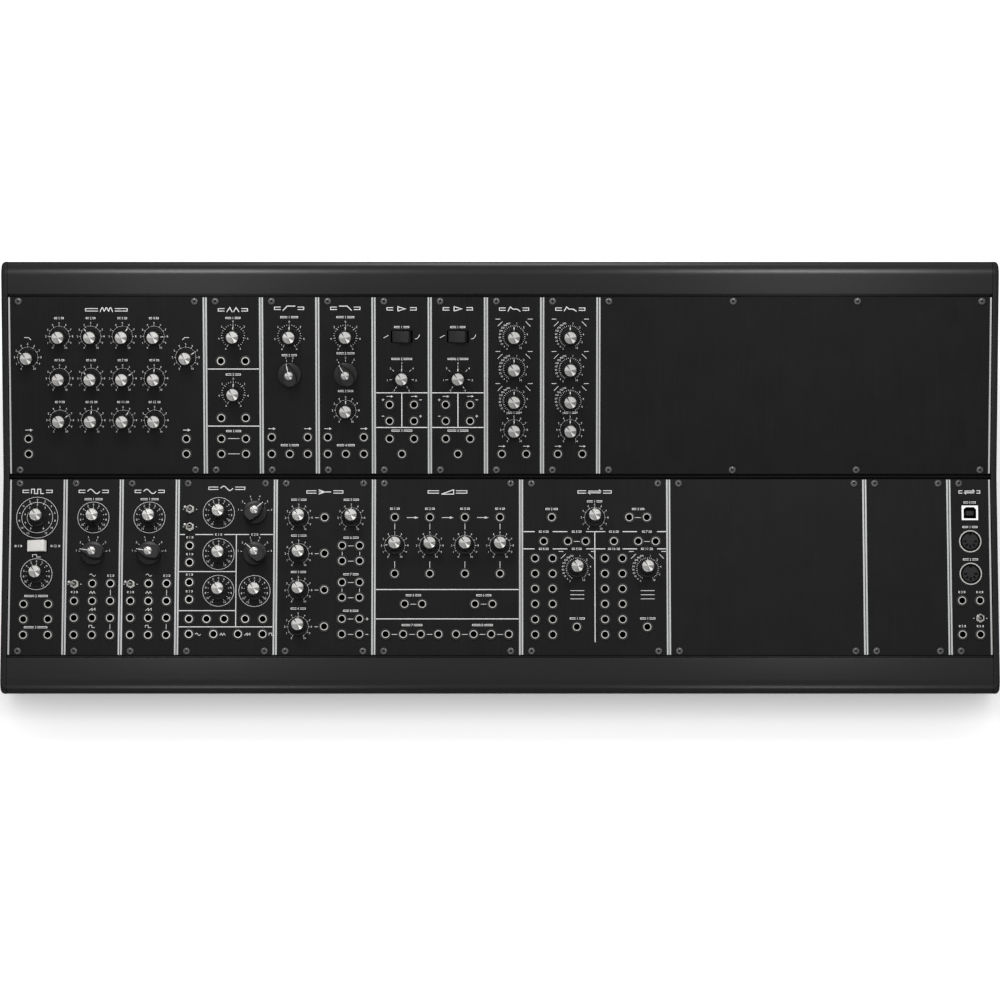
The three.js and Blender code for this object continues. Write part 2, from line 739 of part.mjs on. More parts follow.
// Power plate behind the rear wall's window, drawn in the rear wall's frame.
function powerPlate() {
  const plate_high = -wall - seat_gap;
  const plate_low = plate_high - power_plate_thickness;
  const mouth = -power_mouth_recess;
  const inlet = prism(bearing_sides, inlet_radius, -inlet_depth - power_plate_thickness, mouth);
  const inlet_cut = prism(bearing_sides, inlet_bore_radius, -inlet_depth, overrun);
  const inlet_post = prism(jack_sides, inlet_pin_radius, -inlet_depth - embed, mouth - inlet_pin_radius);
  const switch_place = [power_rocker_offset, 0, mouth];
  const housing = rockerHousing(power_rocker_length, power_rocker_width, 0).translate(...switch_place);
  const pocket = rockerPocket(power_rocker_length, power_rocker_width, overrun).translate(...switch_place);
  let body = solid(slab(power_plate_length, power_plate_height, plate_low, plate_high));
  body = body.add(solid(inlet.translate(-inlet_offset, 0, 0))).add(solid(housing));
  body = body.subtract(solid(inlet_cut.translate(-inlet_offset, 0, 0))).subtract(solid(pocket));
  body = body.add(solid(inlet_post.translate(-inlet_offset, 0, 0)));
  return piece('power_plate', body, moulded_black);
}
function powerRocker() {
  const cap = rockerCap(power_rocker_length, power_rocker_width, power_rocker_height);
  const mesh = piece('power_rocker', solid(cap), moulded_black);
  mesh.position.set(power_rocker_offset, 0, -power_mouth_recess);
  return mesh;
}

// Knob body above its lowest height, turned about the shaft.
function knobProfile(low) {
  return [
    [0, low],
    [knob_skirt_radius, low],
    [knob_skirt_radius, knob_skirt_height],
    [knob_waist_radius, knob_waist_height],
    [knob_cap_radius, knob_height],
    [0, knob_height],
  ];
}
function knobShaft() {
  return prism(shaft_sides, shaft_radius, -shaft_depth, knob_lift + embed);
}

// Round knob with its shaft and the raised rib that carries the pointer line.
function knobBody() {
  const reach = knob_skirt_radius - pointer_rib_width / 2;
  const rib = slab(pointer_rib_width, reach, knob_skirt_height / 2, pointer_rib_height + knob_skirt_height);
  rib.translate(0, reach / 2, 0);
  return solid(turned(knobProfile(knob_lift), knob_sides)).add(solid(knobShaft())).add(solid(rib));
}

// Pointer knob: disc, shaped grip and domed cap.
function pointerParts(low) {
  const mirrored = grip_outline_shares.slice(1, -1).reverse().map(([angle, share]) => [-angle, share]);
  const outline = new THREE.Shape([...grip_outline_shares, ...mirrored].map(([angle, share]) => {
    const turn = THREE.MathUtils.degToRad(angle);
    return new THREE.Vector2(Math.sin(turn), Math.cos(turn)).multiplyScalar(share * disc_radius);
  }));
  const options = { depth: grip_height - disc_height + embed, bevelEnabled: false };
  const grip = new THREE.ExtrudeGeometry(outline, options).translate(0, 0, disc_height - embed);
  const disc = prism(disc_sides, disc_radius, low, disc_height);
  const dome = prism(bearing_sides, dome_radius, grip_height - embed, grip_height + dome_rise);
  return [disc, grip, dome];
}
function pointerBody() {
  const [disc, grip, dome] = pointerParts(knob_lift);
  return solid(disc).add(solid(grip)).add(solid(dome)).add(solid(knobShaft()));
}

// Bat lever, drawn upright about its pivot.
function leverShape() {
  return turned([
    [0, -lever_ball_radius],
    [lever_ball_radius, -lever_ball_radius / 2],
    [lever_ball_radius, lever_ball_radius / 2],
    [lever_neck_radius, lever_ball_radius],
    [lever_tip_radius, lever_reach - lever_tip_radius],
    [0, lever_reach],
  ], lever_sides);
}

// The lever's fixed nut and bushing, and the bore in them.
function bushLever(body, x, y) {
  const nut = prism(jack_sides, nut_radius, -embed, nut_height);
  const bushing = prism(lever_sides, bushing_radius, -embed, bushing_height);
  return body.add(solidAt(nut, x, y)).add(solidAt(bushing, x, y));
}
function leverBore() {
  return prism(lever_sides, bushing_bore_radius, -panel_thickness / 2, bushing_height + overrun);
}

// Round five-pin socket: ring, groove, pin holes and the key notch at the top.
function dinSocket(body, x, y) {
  const floor = din_ring_rise - din_groove_depth;
  const high = din_ring_rise + overrun;
  const outer = din_ring_radius - din_groove;
  const groove = solidAt(prism(din_sides, outer, floor, high), x, y);
  const insert = prism(din_sides, outer - din_groove, floor - overrun, high + overrun);
  const notch = slab(din_groove, din_groove * 2, floor, high);
  let cuts = groove.subtract(solidAt(insert, x, y)).add(solidAt(notch, x, y + outer - din_groove));
  for (const angle of din_pin_angles) {
    const turn = THREE.MathUtils.degToRad(angle);
    const hole = prism(din_pin_sides, din_pin_radius, floor, high);
    cuts = cuts.add(solidAt(hole, x + Math.sin(turn) * din_pin_circle, y - Math.cos(turn) * din_pin_circle));
  }
  const ring = prism(din_sides, din_ring_radius, -embed, din_ring_rise);
  return body.add(solidAt(ring, x, y)).subtract(cuts);
}

// Square USB socket: frame with its body behind the panel, mouth and tongue.
function usbSocket(body, x, y) {
  const frame = slab(usb_frame_width, usb_frame_height, -usb_depth - embed, usb_frame_rise);
  const mouth = slab(usb_mouth_width, usb_mouth_height, -usb_depth, usb_frame_rise + overrun);
  const tongue = slab(usb_tongue_width, usb_tongue_height, -usb_depth - embed, -usb_tongue_recess);
  return body.add(solidAt(frame, x, y)).subtract(solidAt(mouth, x, y)).add(solidAt(tongue, x, y));
}

// Circuit board behind a module, on two posts from the plate.
function addBoard(body, width) {
  const post_y = panel_height * post_row_share;
  const post_x = width / 2 - post_inset;
  const low = -board_depth - board_thickness;
  const board = slab(width - board_inset * 2, board_height, low, -board_depth);
  const middle = -board_depth - board_thickness / 2;
  const left_post = slab(post_width, post_width, middle, -panel_thickness / 2);
  const right_post = slab(post_width, post_width, middle, -panel_thickness / 2);
  return body.add(solidAt(left_post, -post_x, -post_y)).add(solidAt(right_post, post_x, post_y))
    .add(solid(board));
}

// Where a pair of shares lies on a module's panel, from the panel's middle.
function panelPlace(spec, [across, down]) {
  return [(across - 1 / 2) * spec.pitches * pitch, (1 / 2 - down) * panel_height];
}

// The hole for a moving control's shaft, or its pocket and housing.
function seatControl(body, kind, x, y) {
  if (kind === 'rocker') {
    const housing = rockerHousing(rocker_length, rocker_width, -panel_thickness / 2);
    const pocket = rockerPocket(rocker_length, rocker_width, overrun);
    return body.add(solidAt(housing, x, y)).subtract(solidAt(pocket, x, y));
  }
  if (kind === 'lever') return bushLever(body, x, y).subtract(solidAt(leverBore(), x, y));
  const hole = prism(shaft_sides, shaft_radius + shaft_clearance, -panel_thickness - overrun, overrun);
  return body.subtract(solidAt(hole, x, y));
}

// A module's panel in one piece with its sockets and the controls that are drawn fixed.
function modulePanel(spec) {
  const { name, knob_shares = [], jack_shares = [], din_shares = [], controls = [] } = spec;
  const { pointers = [], levers = [] } = spec;
  const width = spec.pitches * pitch - side_gap;
  let body = solid(slab(width, panel_height, -panel_thickness, 0));
  if (controls.length) body = addBoard(body, width);
  for (const share of knob_shares) {
    const knob = turned(knobProfile(-embed), fixed_knob_sides);
    body = body.add(solidAt(knob, ...panelPlace(spec, share)));
  }
  for (const share of jack_shares) {
    const collar = prism(jack_sides, collar_radius, -embed, collar_height);
    const bore = prism(jack_sides, bore_radius, -panel_thickness - overrun, collar_height + overrun);
    const place = panelPlace(spec, share);
    body = body.add(solidAt(collar, ...place)).subtract(solidAt(bore, ...place));
  }
  for (const { place_share, turn } of pointers) {
    for (const part of pointerParts(-embed)) {
      part.rotateZ(-THREE.MathUtils.degToRad(turn));
      body = body.add(solidAt(part, ...panelPlace(spec, place_share)));
    }
  }
  for (const { place_share } of levers) {
    const place = panelPlace(spec, place_share);
    const lever = leverShape().rotateY(-lever_tilt).translate(0, 0, lever_pivot_height);
    body = bushLever(body, ...place).add(solidAt(lever, ...place));
  }
  for (const share of din_shares) body = dinSocket(body, ...panelPlace(spec, share));
  if (spec.usb_share) body = usbSocket(body, ...panelPlace(spec, spec.usb_share));
  for (const { kind, place_share } of controls) {
    body = seatControl(body, kind, ...panelPlace(spec, place_share));
  }
  return piece(`${name}_panel`, body, printed_black);
}

// A moving control, placed in its module's frame.
function movingControl({ name, kind, place_share, turn, pale }, spec) {
  const rocker_finish = pale ? moulded_white : moulded_black;
  const rocker_cap = rockerCap(rocker_length, rocker_width, rocker_height);
  const makers = {
    knob: () => piece(name, knobBody(), moulded_black),
    pointer: () => piece(name, pointerBody(), moulded_black),
    rocker: () => piece(name, solid(rocker_cap), rocker_finish),
    lever: () => piece(name, solid(leverShape()), bare_steel),
  };
  const mesh = makers[kind]();
  mesh.position.set(...panelPlace(spec, place_share), 0);
  if (kind === 'lever') {
    mesh.position.z = lever_pivot_height;
    mesh.rotation.y = -lever_tilt;
  } else if (kind !== 'rocker') {
    mesh.rotation.z = -THREE.MathUtils.degToRad(turn);
  }
  return mesh;
}

// One row of modules side by side, centred on the case, at its height on the face.
function moduleRow(modules, centre_y) {
  const row = new THREE.Group();
  let start = 0;
  for (const spec of modules) {
    const place = new THREE.Group();
    place.position.set((start + spec.pitches / 2) * pitch - row_width / 2, centre_y, 0);
    place.add(modulePanel(spec));
    for (const control of spec.controls ?? []) place.add(movingControl(control, spec));
    row.add(place);
    start += spec.pitches;
  }
  return row;
}

// Lower face: X to the right, Y up the face and Z out of it, from the kink line.
const row_centre = kink_gap + panel_height / 2;
const lower_face = new THREE.Group();
lower_face.rotation.x = lower_tilt;
const lower_nose = lowerNose();
lower_nose.rotation.z = Math.PI;
lower_face.add(lower_nose, moduleRow(lower_row, -row_centre));

// Upper face, with what hangs on it and in its rear wall.
const upper_face = new THREE.Group();
upper_face.rotation.x = upper_tilt;
upper_face.add(upperNose(), moduleRow(upper_row, row_centre), busBoard());
upper_face.add(standBracket('left_stand_bracket', -1), standBracket('right_stand_bracket', 1));
rear_wall.add(powerPlate(), powerRocker());
upper_face.add(rear_wall);

// The stand hangs on its pins and leans a little to the rear.
const stand_turn = new THREE.Group();
stand_turn.rotation.x = stand_lean;
stand_turn.add(stand());
const stand_frame = new THREE.Group();
stand_frame.position.set(0, hinge_y, hinge_z);
const sleeve = standSleeve();
sleeve.position.set(0, Math.sin(stand_lean) * arm_length, -Math.cos(stand_lean) * arm_length);
stand_frame.add(stand_turn, sleeve);

// The whole part: the kink line at its height over the table, centred front to rear.
const chassis = new THREE.Group();
chassis.add(lower_face, upper_face, stand_frame, centreRail(), tray(), frontStrip(), kinkStrip());
chassis.add(cheek('left_cheek', -1), cheek('right_cheek', 1));
chassis.position.z = kink_height;
const synthesizer = new THREE.Group();
synthesizer.add(chassis);
const bounds = new THREE.Box3().setFromObject(synthesizer, true);
chassis.position.y = -(bounds.min.y + bounds.max.y) / 2;

export default synthesizer;
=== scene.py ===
import itertools
import math

import bpy
import numpy as np
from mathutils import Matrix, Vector


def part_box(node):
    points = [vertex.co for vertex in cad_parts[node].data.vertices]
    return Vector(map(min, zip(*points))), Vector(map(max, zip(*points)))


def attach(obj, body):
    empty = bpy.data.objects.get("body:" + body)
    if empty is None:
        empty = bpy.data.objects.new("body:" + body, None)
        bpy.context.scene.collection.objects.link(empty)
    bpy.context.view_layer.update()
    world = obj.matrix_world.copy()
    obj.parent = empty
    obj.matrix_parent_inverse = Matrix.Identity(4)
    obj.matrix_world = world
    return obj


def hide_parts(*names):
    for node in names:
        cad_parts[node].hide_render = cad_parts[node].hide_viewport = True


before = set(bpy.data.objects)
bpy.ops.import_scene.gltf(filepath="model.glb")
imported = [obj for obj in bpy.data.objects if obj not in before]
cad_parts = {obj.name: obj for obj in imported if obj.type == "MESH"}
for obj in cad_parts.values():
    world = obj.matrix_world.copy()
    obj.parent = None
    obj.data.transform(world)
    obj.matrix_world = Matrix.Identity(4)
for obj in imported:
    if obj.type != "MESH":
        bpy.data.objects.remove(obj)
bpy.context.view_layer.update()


# The case stands on a table as a player finds it: a front face tilted by 20 degrees and a rear
# face by 35.3, which meet in the kink line. All sizes below are in millimetres, and a face's own
# frame has X to the right, Y up the face and Z out of it, with its origin on the kink line.
pitch = 5.08
row_pitches = 140
row_width = row_pitches * pitch
panel_height = 128.5
kink_gap = 2.0
plate_thick = 2.0
lower_tilt = math.radians(20)
upper_tilt = math.radians(35.3)
blank_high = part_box("wide_blank_panel")[1] * 1000
kink_y = blank_high.y + kink_gap * math.cos(lower_tilt) - plate_thick * math.sin(lower_tilt)
kink_z = blank_high.z + kink_gap * math.sin(lower_tilt)


def on_face(tilt, points):
    """Turns points of a face's frame by the face's tilt about X and moves them to the kink line."""
    x, y, z = np.asarray(points, float).T
    up, out = math.cos(tilt), math.sin(tilt)
    return np.stack([x, kink_y + y * up - z * out, kink_z + y * out + z * up], axis=1)


# The camera looks down on the two rows from the front with a long lens, almost square to the
# front face. Its frame is the photograph's, square, with the kink line a little above its middle.
camera_elevation = math.radians(61.1)
camera_distance = 3400.0
camera_drop = 17.0
view_back = np.array([0, -math.cos(camera_elevation), math.sin(camera_elevation)])
view_up = np.array([0, math.sin(camera_elevation), math.cos(camera_elevation)])
aim = np.array([0, kink_y, kink_z]) - view_up * camera_drop
lens = bpy.data.cameras.new("front_camera")
lens.lens = 168.7
lens.sensor_width = 36
lens.clip_end = 50


def aimed(name, data, place, target):
    """An object at a place that looks at a target, both in metres."""
    thing = bpy.data.objects.new(name, data)
    bpy.context.scene.collection.objects.link(thing)
    thing.location = place
    thing.rotation_mode = "QUATERNION"
    thing.rotation_quaternion = (Vector(target) - Vector(place)).to_track_quat("-Z", "Y")
    return thing


bpy.context.scene.camera = aimed(
    "front_camera", lens, (aim + view_back * camera_distance) / 1000, aim / 1000)
bpy.context.scene.view_settings.view_transform = "Standard"


class Value:
    """A socket of a material's nodes. + * / and ** on it add Math nodes."""

    def __init__(self, finish, socket):
        self.finish, self.socket = finish, socket

    def math(self, operation, first, second):
        return self.finish.node("ShaderNodeMath", {"operation": operation}, {0: first, 1: second})

    __add__ = __radd__ = lambda self, other: self.math("ADD", self, other)
    __mul__ = __rmul__ = lambda self, other: self.math("MULTIPLY", self, other)
    __truediv__ = lambda self, other: self.math("DIVIDE", self, other)
    __pow__ = lambda self, other: self.math("POWER", self, other)


class Finish:
    """A node material. Constant values are set on the shader; what varies is fed to it."""

    def __init__(self, name, colour, roughness, **constants):
        self.material = bpy.data.materials.new(name)
        self.material.use_nodes = True
        self.shader = self.material.node_tree.nodes["Principled BSDF"]
        self.shader.inputs["Base Color"].default_value = (*colour, 1)
        self.shader.inputs["Roughness"].default_value = roughness
        for socket, value in constants.items():
            self.shader.inputs[socket.replace("_", " ")].default_value = value
        self.colour, self.roughness = colour, roughness

    def node(self, kind, settings=(), sockets=(), output=0):
        """Adds a node, sets it up, then gives its sockets their values or links."""
        node = self.material.node_tree.nodes.new(kind)
        for key, value in dict(settings).items():
            if key == "stops":
                for place, colour in value[len(node.color_ramp.elements):]:
                    node.color_ramp.elements.new(place)
                for element, (place, colour) in zip(node.color_ramp.elements, value):
                    element.position, element.color = place, (*colour, 1)
            else:
                setattr(node, key, value)
        for key, value in dict(sockets).items():
            if isinstance(value, Value):
                self.material.node_tree.links.new(value.socket, node.inputs[key])
            else:
                node.inputs[key].default_value = value
        return Value(self, node.outputs[output])

    def feed(self, socket, value):
        self.material.node_tree.links.new(value.socket, self.shader.inputs[socket])

    def place(self, stretch=(1, 1, 1)):
        """The piece's own coordinates, in metres, stretched along each axis."""
        where = self.node("ShaderNodeTexCoord", output=3)
        return self.node("ShaderNodeMapping", {}, {"Vector": where, "Scale": stretch})

    def noise(self, where, scale, detail=3.0):
        sockets = {"Vector": where, "Scale": scale, "Detail": detail, "Roughness": 0.6}
        return self.node("ShaderNodeTexNoise", {}, sockets)

    def bump(self, height, depth, strength=1.0):
        """Relief of a height between 0 and 1 that stands depth metres high."""
        sockets = {"Height": height, "Distance": depth, "Strength": strength}
        self.feed("Normal", self.node("ShaderNodeBump", {}, sockets))

    def vary(self, amount, spread, dark=0.75, light=1.25):
        """Tints the colour between darker and lighter, and spreads the roughness."""
        darker = tuple(c * dark for c in self.colour)
        lighter = tuple(min(c * light, 1) for c in self.colour)
        stops = [(0.3, darker), (0.7, lighter)]
        self.feed("Base Color", self.node("ShaderNodeValToRGB", {"stops": stops}, {0: amount}))
        self.feed("Roughness", amount * spread + (self.roughness - spread / 2))

    def speckle(self, scale, spread, dark=0.75, light=1.25, stretch=(1, 1, 1)):
        """Varies the finish by one noise over the piece's own coordinates."""
        self.vary(self.noise(self.place(stretch), scale), spread, dark, light)
        return self


class Shape:
    """Gathers points, in millimetres, and faces for one piece, each face in its finish."""

    def __init__(self):
        self.points, self.faces, self.places, self.finishes, self.count = [], [], [], [], 0
        self.maps = []

    def add(self, points, faces, finish, flat=None):
        """Adds a patch. flat gives each point's place for a pattern that follows the surface."""
        if finish not in self.finishes:
            self.finishes.append(finish)
        points = np.asarray(points, float)
        self.points.append(points)
        self.maps.append(points[:, :2] * 0 if flat is None else flat)
        self.faces += [tuple(int(i) + self.count for i in face) for face in faces]
        self.places += [self.finishes.index(finish)] * len(faces)
        self.count += len(points)
        return self

    def put(self, lay, form, finish):
        """Adds a form, its points and faces, where lay puts its points."""
        points, faces = form
        return self.add(lay(points), faces, finish)

    def make(self, name, body, slot, *nodes):
        """Makes the mesh, in metres, and the piece that rides on a body for its CAD nodes."""
        mesh = bpy.data.meshes.new(name)
        mesh.from_pydata(np.concatenate(self.points) / 1000, [], self.faces)
        for finish in self.finishes:
            mesh.materials.append(finish.material)
        mesh.polygons.foreach_set("material_index", self.places)
        mesh.polygons.foreach_set("use_smooth", [True] * len(self.faces))
        corners = np.empty(len(mesh.loops), int)
        mesh.loops.foreach_get("vertex_index", corners)
        layer = mesh.uv_layers.new(name="surface")
        layer.data.foreach_set("uv", np.concatenate(self.maps)[corners].ravel())
        mesh.set_sharp_from_angle(angle=math.radians(35))
        mesh.update()
        piece = bpy.data.objects.new(name, mesh)
        bpy.context.scene.collection.objects.link(piece)
        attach(piece, body)
        if nodes:
            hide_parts(*nodes)
        return piece


def grid(rows, columns, closed_rows=False):
    """Faces of a grid of points in row order, closed round its columns; each looks along its
    column step x row step."""
    row = np.arange(rows if closed_rows else rows - 1)[:, None]
    column = np.arange(columns)[None, :]
    row_next, column_next = (row + 1) % rows, (column + 1) % columns
    quads = [row * columns + column, row * columns + column_next,
             row_next * columns + column_next, row_next * columns + column]
    return np.stack([q.ravel() for q in quads], axis=1)


def capped(rows, columns):
    """A grid round an axis with both of its open ends closed by one face each."""
    last = (rows - 1) * columns
    ends = [list(range(columns))[::-1], list(range(last, last + columns))]
    return [*grid(rows, columns).tolist(), *ends]


# The table: a plain white sheet that takes the part's soft shadow, in an even white surround.
# Both are white to the camera and dimmer in reflections, so that the black finishes stay black.
# The sheet's glow grows with the distance, in metres, where the lamps no longer reach it.
floor_glow = 0.28
glow_growth = {"From Min": 0.6, "From Max": 2.5, "To Min": 1.0, "To Max": 1.7}
floor_white, floor_reflected = 0.9, 0.1
table_finish = Finish("white_table", (floor_white,) * 3, 0.6, Specular_IOR_Level=0.0)
rays = table_finish.node("ShaderNodeLightPath")
glossy = Value(table_finish, rays.socket.node.outputs["Is Glossy Ray"])
shade = {"A": (floor_white,) * 3 + (1,), "B": (floor_reflected,) * 3 + (1,), "Factor": glossy}
table_finish.feed("Base Color", table_finish.node("ShaderNodeMix", {"data_type": "RGBA"}, shade, 2))
distance = table_finish.node(
    "ShaderNodeVectorMath", {"operation": "LENGTH"}, {0: table_finish.place()}, 1)
glow = rays * table_finish.node("ShaderNodeMapRange", {}, {"Value": distance, **glow_growth})
glow_colour = table_finish.node("ShaderNodeCombineColor", {}, {i: glow for i in range(3)})
table_finish.feed("Emission Color", glow_colour)
table_finish.shader.inputs["Emission Strength"].default_value = floor_glow
sheet = bpy.data.meshes.new("table")
sheet.from_pydata([(-9, -9, 0), (9, -9, 0), (9, 9, 0), (-9, 9, 0)], [], [(0, 1, 2, 3)])
sheet.materials.append(table_finish.material)
table = bpy.data.objects.new("table", sheet)
bpy.context.scene.collection.objects.link(table)

world = bpy.data.worlds.new("surround")
bpy.context.scene.world = world
world.use_nodes = True
surround = world.node_tree.nodes["Background"]
surround.inputs["Color"].default_value = (1, 1, 1, 1)
path = world.node_tree.nodes.new("ShaderNodeLightPath")
last = None
for ray, strength in (("Is Glossy Ray", 0.3), ("Is Camera Ray", 1.0)):
    level = world.node_tree.nodes.new("ShaderNodeMapRange")
    level.inputs["To Min"].default_value = 0.65
    level.inputs["To Max"].default_value = strength
    world.node_tree.links.new(path.outputs[ray], level.inputs["Value"])
    if last:
        world.node_tree.links.new(last.outputs["Result"], level.inputs["To Min"])
    last = level
world.node_tree.links.new(last.outputs["Result"], surround.inputs["Strength"])


# Lamps: a wide one overhead that the black finishes do not mirror, a tall one low behind for the
# rear edge, and small pairs close over the case and low in front, which draw two soft lights
# along each rounded edge.
def soft_light(name, place, target, width, height, power):
    """A rectangular lamp that the camera does not see."""
    lamp = bpy.data.lights.new(name, "AREA")
    lamp.shape, lamp.size, lamp.size_y, lamp.energy = "RECTANGLE", width, height, power
    light = aimed(name, lamp, place, target)
    light.visible_camera = False
    return light


soft_light("overhead_softbox", (0, -0.7, 2.4), (0, 0, 0.1), 1.6, 1.2, 19).visible_glossy = False
soft_light("low_rear_lamp", (0, 1.6, 0.5), (0, 0.14, 0.19), 0.3, 0.8, 2.7)
for side_name, x in (("left", -0.25), ("right", 0.25)):
    soft_light(side_name + "_overhead_lamp", (x, 0.118, 0.66), (x, 0.14, 0.19), 0.14, 0.2, 0.95)
    soft_light(side_name + "_bezel_lamp", (x, -0.157, 0.52), (x, 0.13, 0.19), 0.1, 0.2, 0.08)
    soft_light(side_name + "_front_lamp", (x, -0.75, 0.108), (x, -0.14, 0.06), 0.14, 0.14, 0.35)


# Case extrusions: black anodised aluminium with a fine blasted skin. Each nose is one profile
# along the whole row: a flat bezel, a large round edge, a wall that leans in and its heel. The
# rear one has a window in its wall for the power plate.
case_depth = 58.0
wall = 3.0
wall_lean = math.radians(12)
nose_radius = 9.4
nose_reach = nose_radius / math.tan(math.pi / 4 - wall_lean / 2)
panel_end = kink_gap + panel_height
lower_bezel_start, lower_end = panel_end + 2.0, panel_end + 17.6 + nose_reach
upper_bezel_start, upper_end = panel_end + 2.2, panel_end + 15.5 + nose_reach
bezel_rise = 1.5
heel_radius = 6.0
rail_top, rail_depth, rail_reach = -2.3, 8.0, 9.5
front_groove, rear_groove, groove_depth = 0.7, 2.1, 5.0
seat_rise, seat_start, seat_end = 2.3, 6.3, 22.3
power_x = -270.0
window_half_length, window_half_height = 31.0, 9.0

anodised = Finish("black_anodised", (0.0078, 0.0078, 0.008), 0.33, Specular_IOR_Level=0.5)
skin = anodised.noise(anodised.place(), 900, 2)
draw_lines = anodised.noise(anodised.place((3, 900, 900)), 1, 4)
anodised.vary(draw_lines * 0.6 + skin * 0.4, 0.08, 0.85, 1.15)
anodised.bump(skin, 0.00002)


def rounded(corners):
    """A closed outline through corners (y, z, radius). A radius becomes an arc that touches both
    sides of its corner: its two end arms, weighted by the sines of the angles to go and gone."""
    outline = []
    points = np.array([corner[:2] for corner in corners], float)
    for i, (y, z, radius) in enumerate(corners):
        if radius == 0:
            outline.append(points[i])
            continue
        back, ahead = points[i - 1] - points[i], points[(i + 1) % len(points)] - points[i]
        back, ahead = back / np.linalg.norm(back), ahead / np.linalg.norm(ahead)
        half = math.acos(back @ ahead) / 2
        middle = (back + ahead) / np.linalg.norm(back + ahead) * radius / math.sin(half)
        first, last = (way * radius / math.tan(half) - middle for way in (back, ahead))
        turn = math.pi - 2 * half
        gone = np.linspace(0, turn, 11)[:, None]
        arms = (first * np.sin(turn - gone) + last * np.sin(gone)) / math.sin(turn)
        outline += list(points[i] + middle + arms)
    return np.array(outline)


def along_x(outline, stations):
    """Carries a (y, z) outline along X: one ring of points at each station."""
    return np.concatenate([np.insert(outline, 0, x, axis=1) for x in stations])


def wall_reach(nose_end, rise, out=0.0):
    """How far from the kink a leaning wall is at a rise, moved out by a distance square to it."""
    return nose_end + (rise - bezel_rise) * math.tan(wall_lean) + out / math.cos(wall_lean)


def wall_point(nose_end, along, out):
    """Reach and rise of a point on a leaning wall, from its middle up the wall and out of it."""
    middle = -case_depth / 2
    return (wall_reach(nose_end, middle) + along * math.sin(wall_lean) + out * math.cos(wall_lean),
            middle + along * math.cos(wall_lean) - out * math.sin(wall_lean))


def nose(name, node, bezel_start, nose_end, groove, tilt, side, window=()):
    """The nose's profile in reach from the kink and rise, laid on its face and drawn along X. A
    groove parts the panels' rail from the bezel, and the tray lies on a seat. Between the two ends
    of a window, the wall's cells give way to the window's four jambs."""
    seat = seat_rise - case_depth
    base = wall_reach(nose_end, -case_depth)
    corners = [
        (bezel_start, bezel_rise, 0.4), (nose_end, bezel_rise, nose_radius),
        (*wall_point(nose_end, window_half_height, 0), 0),
        (*wall_point(nose_end, -window_half_height, 0), 0),
        (base, -case_depth, heel_radius), (base - seat_start, -case_depth, 0),
        (base - seat_start, seat, 0), (base - seat_end, seat, 0), (base - seat_end, seat + wall, 0),
        (wall_reach(nose_end, seat + wall, -wall), seat + wall, 0),
        (*wall_point(nose_end, -window_half_height, -wall), 0),
        (*wall_point(nose_end, window_half_height, -wall), 0),
        (wall_reach(nose_end, bezel_rise - wall, -wall), bezel_rise - wall, nose_radius - wall),
        (bezel_start + wall, bezel_rise - wall, 0), (bezel_start + wall, rail_top - rail_depth, 0),
        (panel_end - rail_reach, rail_top - rail_depth, 0), (panel_end - rail_reach, rail_top, 0),
        (bezel_start - groove, rail_top, 0), (bezel_start - groove, rail_top - groove_depth, 0),
        (bezel_start, rail_top - groove_depth, 0),
    ]
    outline = rounded(corners)
    jambs = [int(np.argmin(np.linalg.norm(outline - wall_point(nose_end, along, out), axis=1)))
             for along, out in ((window_half_height, 0), (-window_half_height, 0),
                                (-window_half_height, -wall), (window_half_height, -wall))]
    outline = outline * (side, 1)
    count = len(outline)
    stations = [-row_width / 2, *window, row_width / 2]
    faces = capped(len(stations), count)
    if window:
        gone = {count + jambs[0], count + jambs[2]}
        faces = [face for i, face in enumerate(faces) if i not in gone]
        near, far = [[jamb + row * count for jamb in jambs] for row in (1, 2)]
        faces += [near, far[::-1]]
        faces += [[near[a], far[a], far[b], near[b]] for a, b in ((3, 0), (1, 2))]
    if side > 0:
        faces = [face[::-1] for face in faces]
    shape = Shape().add(on_face(tilt, along_x(outline, stations)), faces, anodised)
    return shape.make(name, "case", "black_anodised", node)


nose("front_nose", "lower_nose_rail", lower_bezel_start, lower_end, front_groove, lower_tilt, -1)
nose("rear_nose", "upper_nose_rail", upper_bezel_start, upper_end, rear_groove, upper_tilt, 1,
     (power_x - window_half_length, power_x + window_half_length))


# Cheeks: end plates of the same black aluminium, a little proud of the case all round, with a
# rounded outer edge.
cheek_thickness = 4.5
cheek_fillet = 3.0
cheek_rise = 0.1
cheek_inner = row_width / 2 + 0.3


def case_outline(rise):
    """The case's side view with every edge moved out by rise, its six corners from the front."""
    top, foot = bezel_rise + rise, -case_depth - rise
    kink = math.tan((lower_tilt - upper_tilt) / 2)
    corners = (
        (lower_tilt, -wall_reach(lower_end, top, rise), top, nose_radius + rise),
        (lower_tilt, -wall_reach(lower_end, foot, rise), foot, heel_radius + rise),
        (lower_tilt, kink * foot, foot, 0),
        (upper_tilt, wall_reach(upper_end, foot, rise), foot, heel_radius + rise),
        (upper_tilt, wall_reach(upper_end, top, rise), top, nose_radius + rise),
        (lower_tilt, kink * top, top, 0))
    return rounded([(*on_face(tilt, [(0, reach, height)])[0, 1:], radius)
                    for tilt, reach, height, radius in corners])


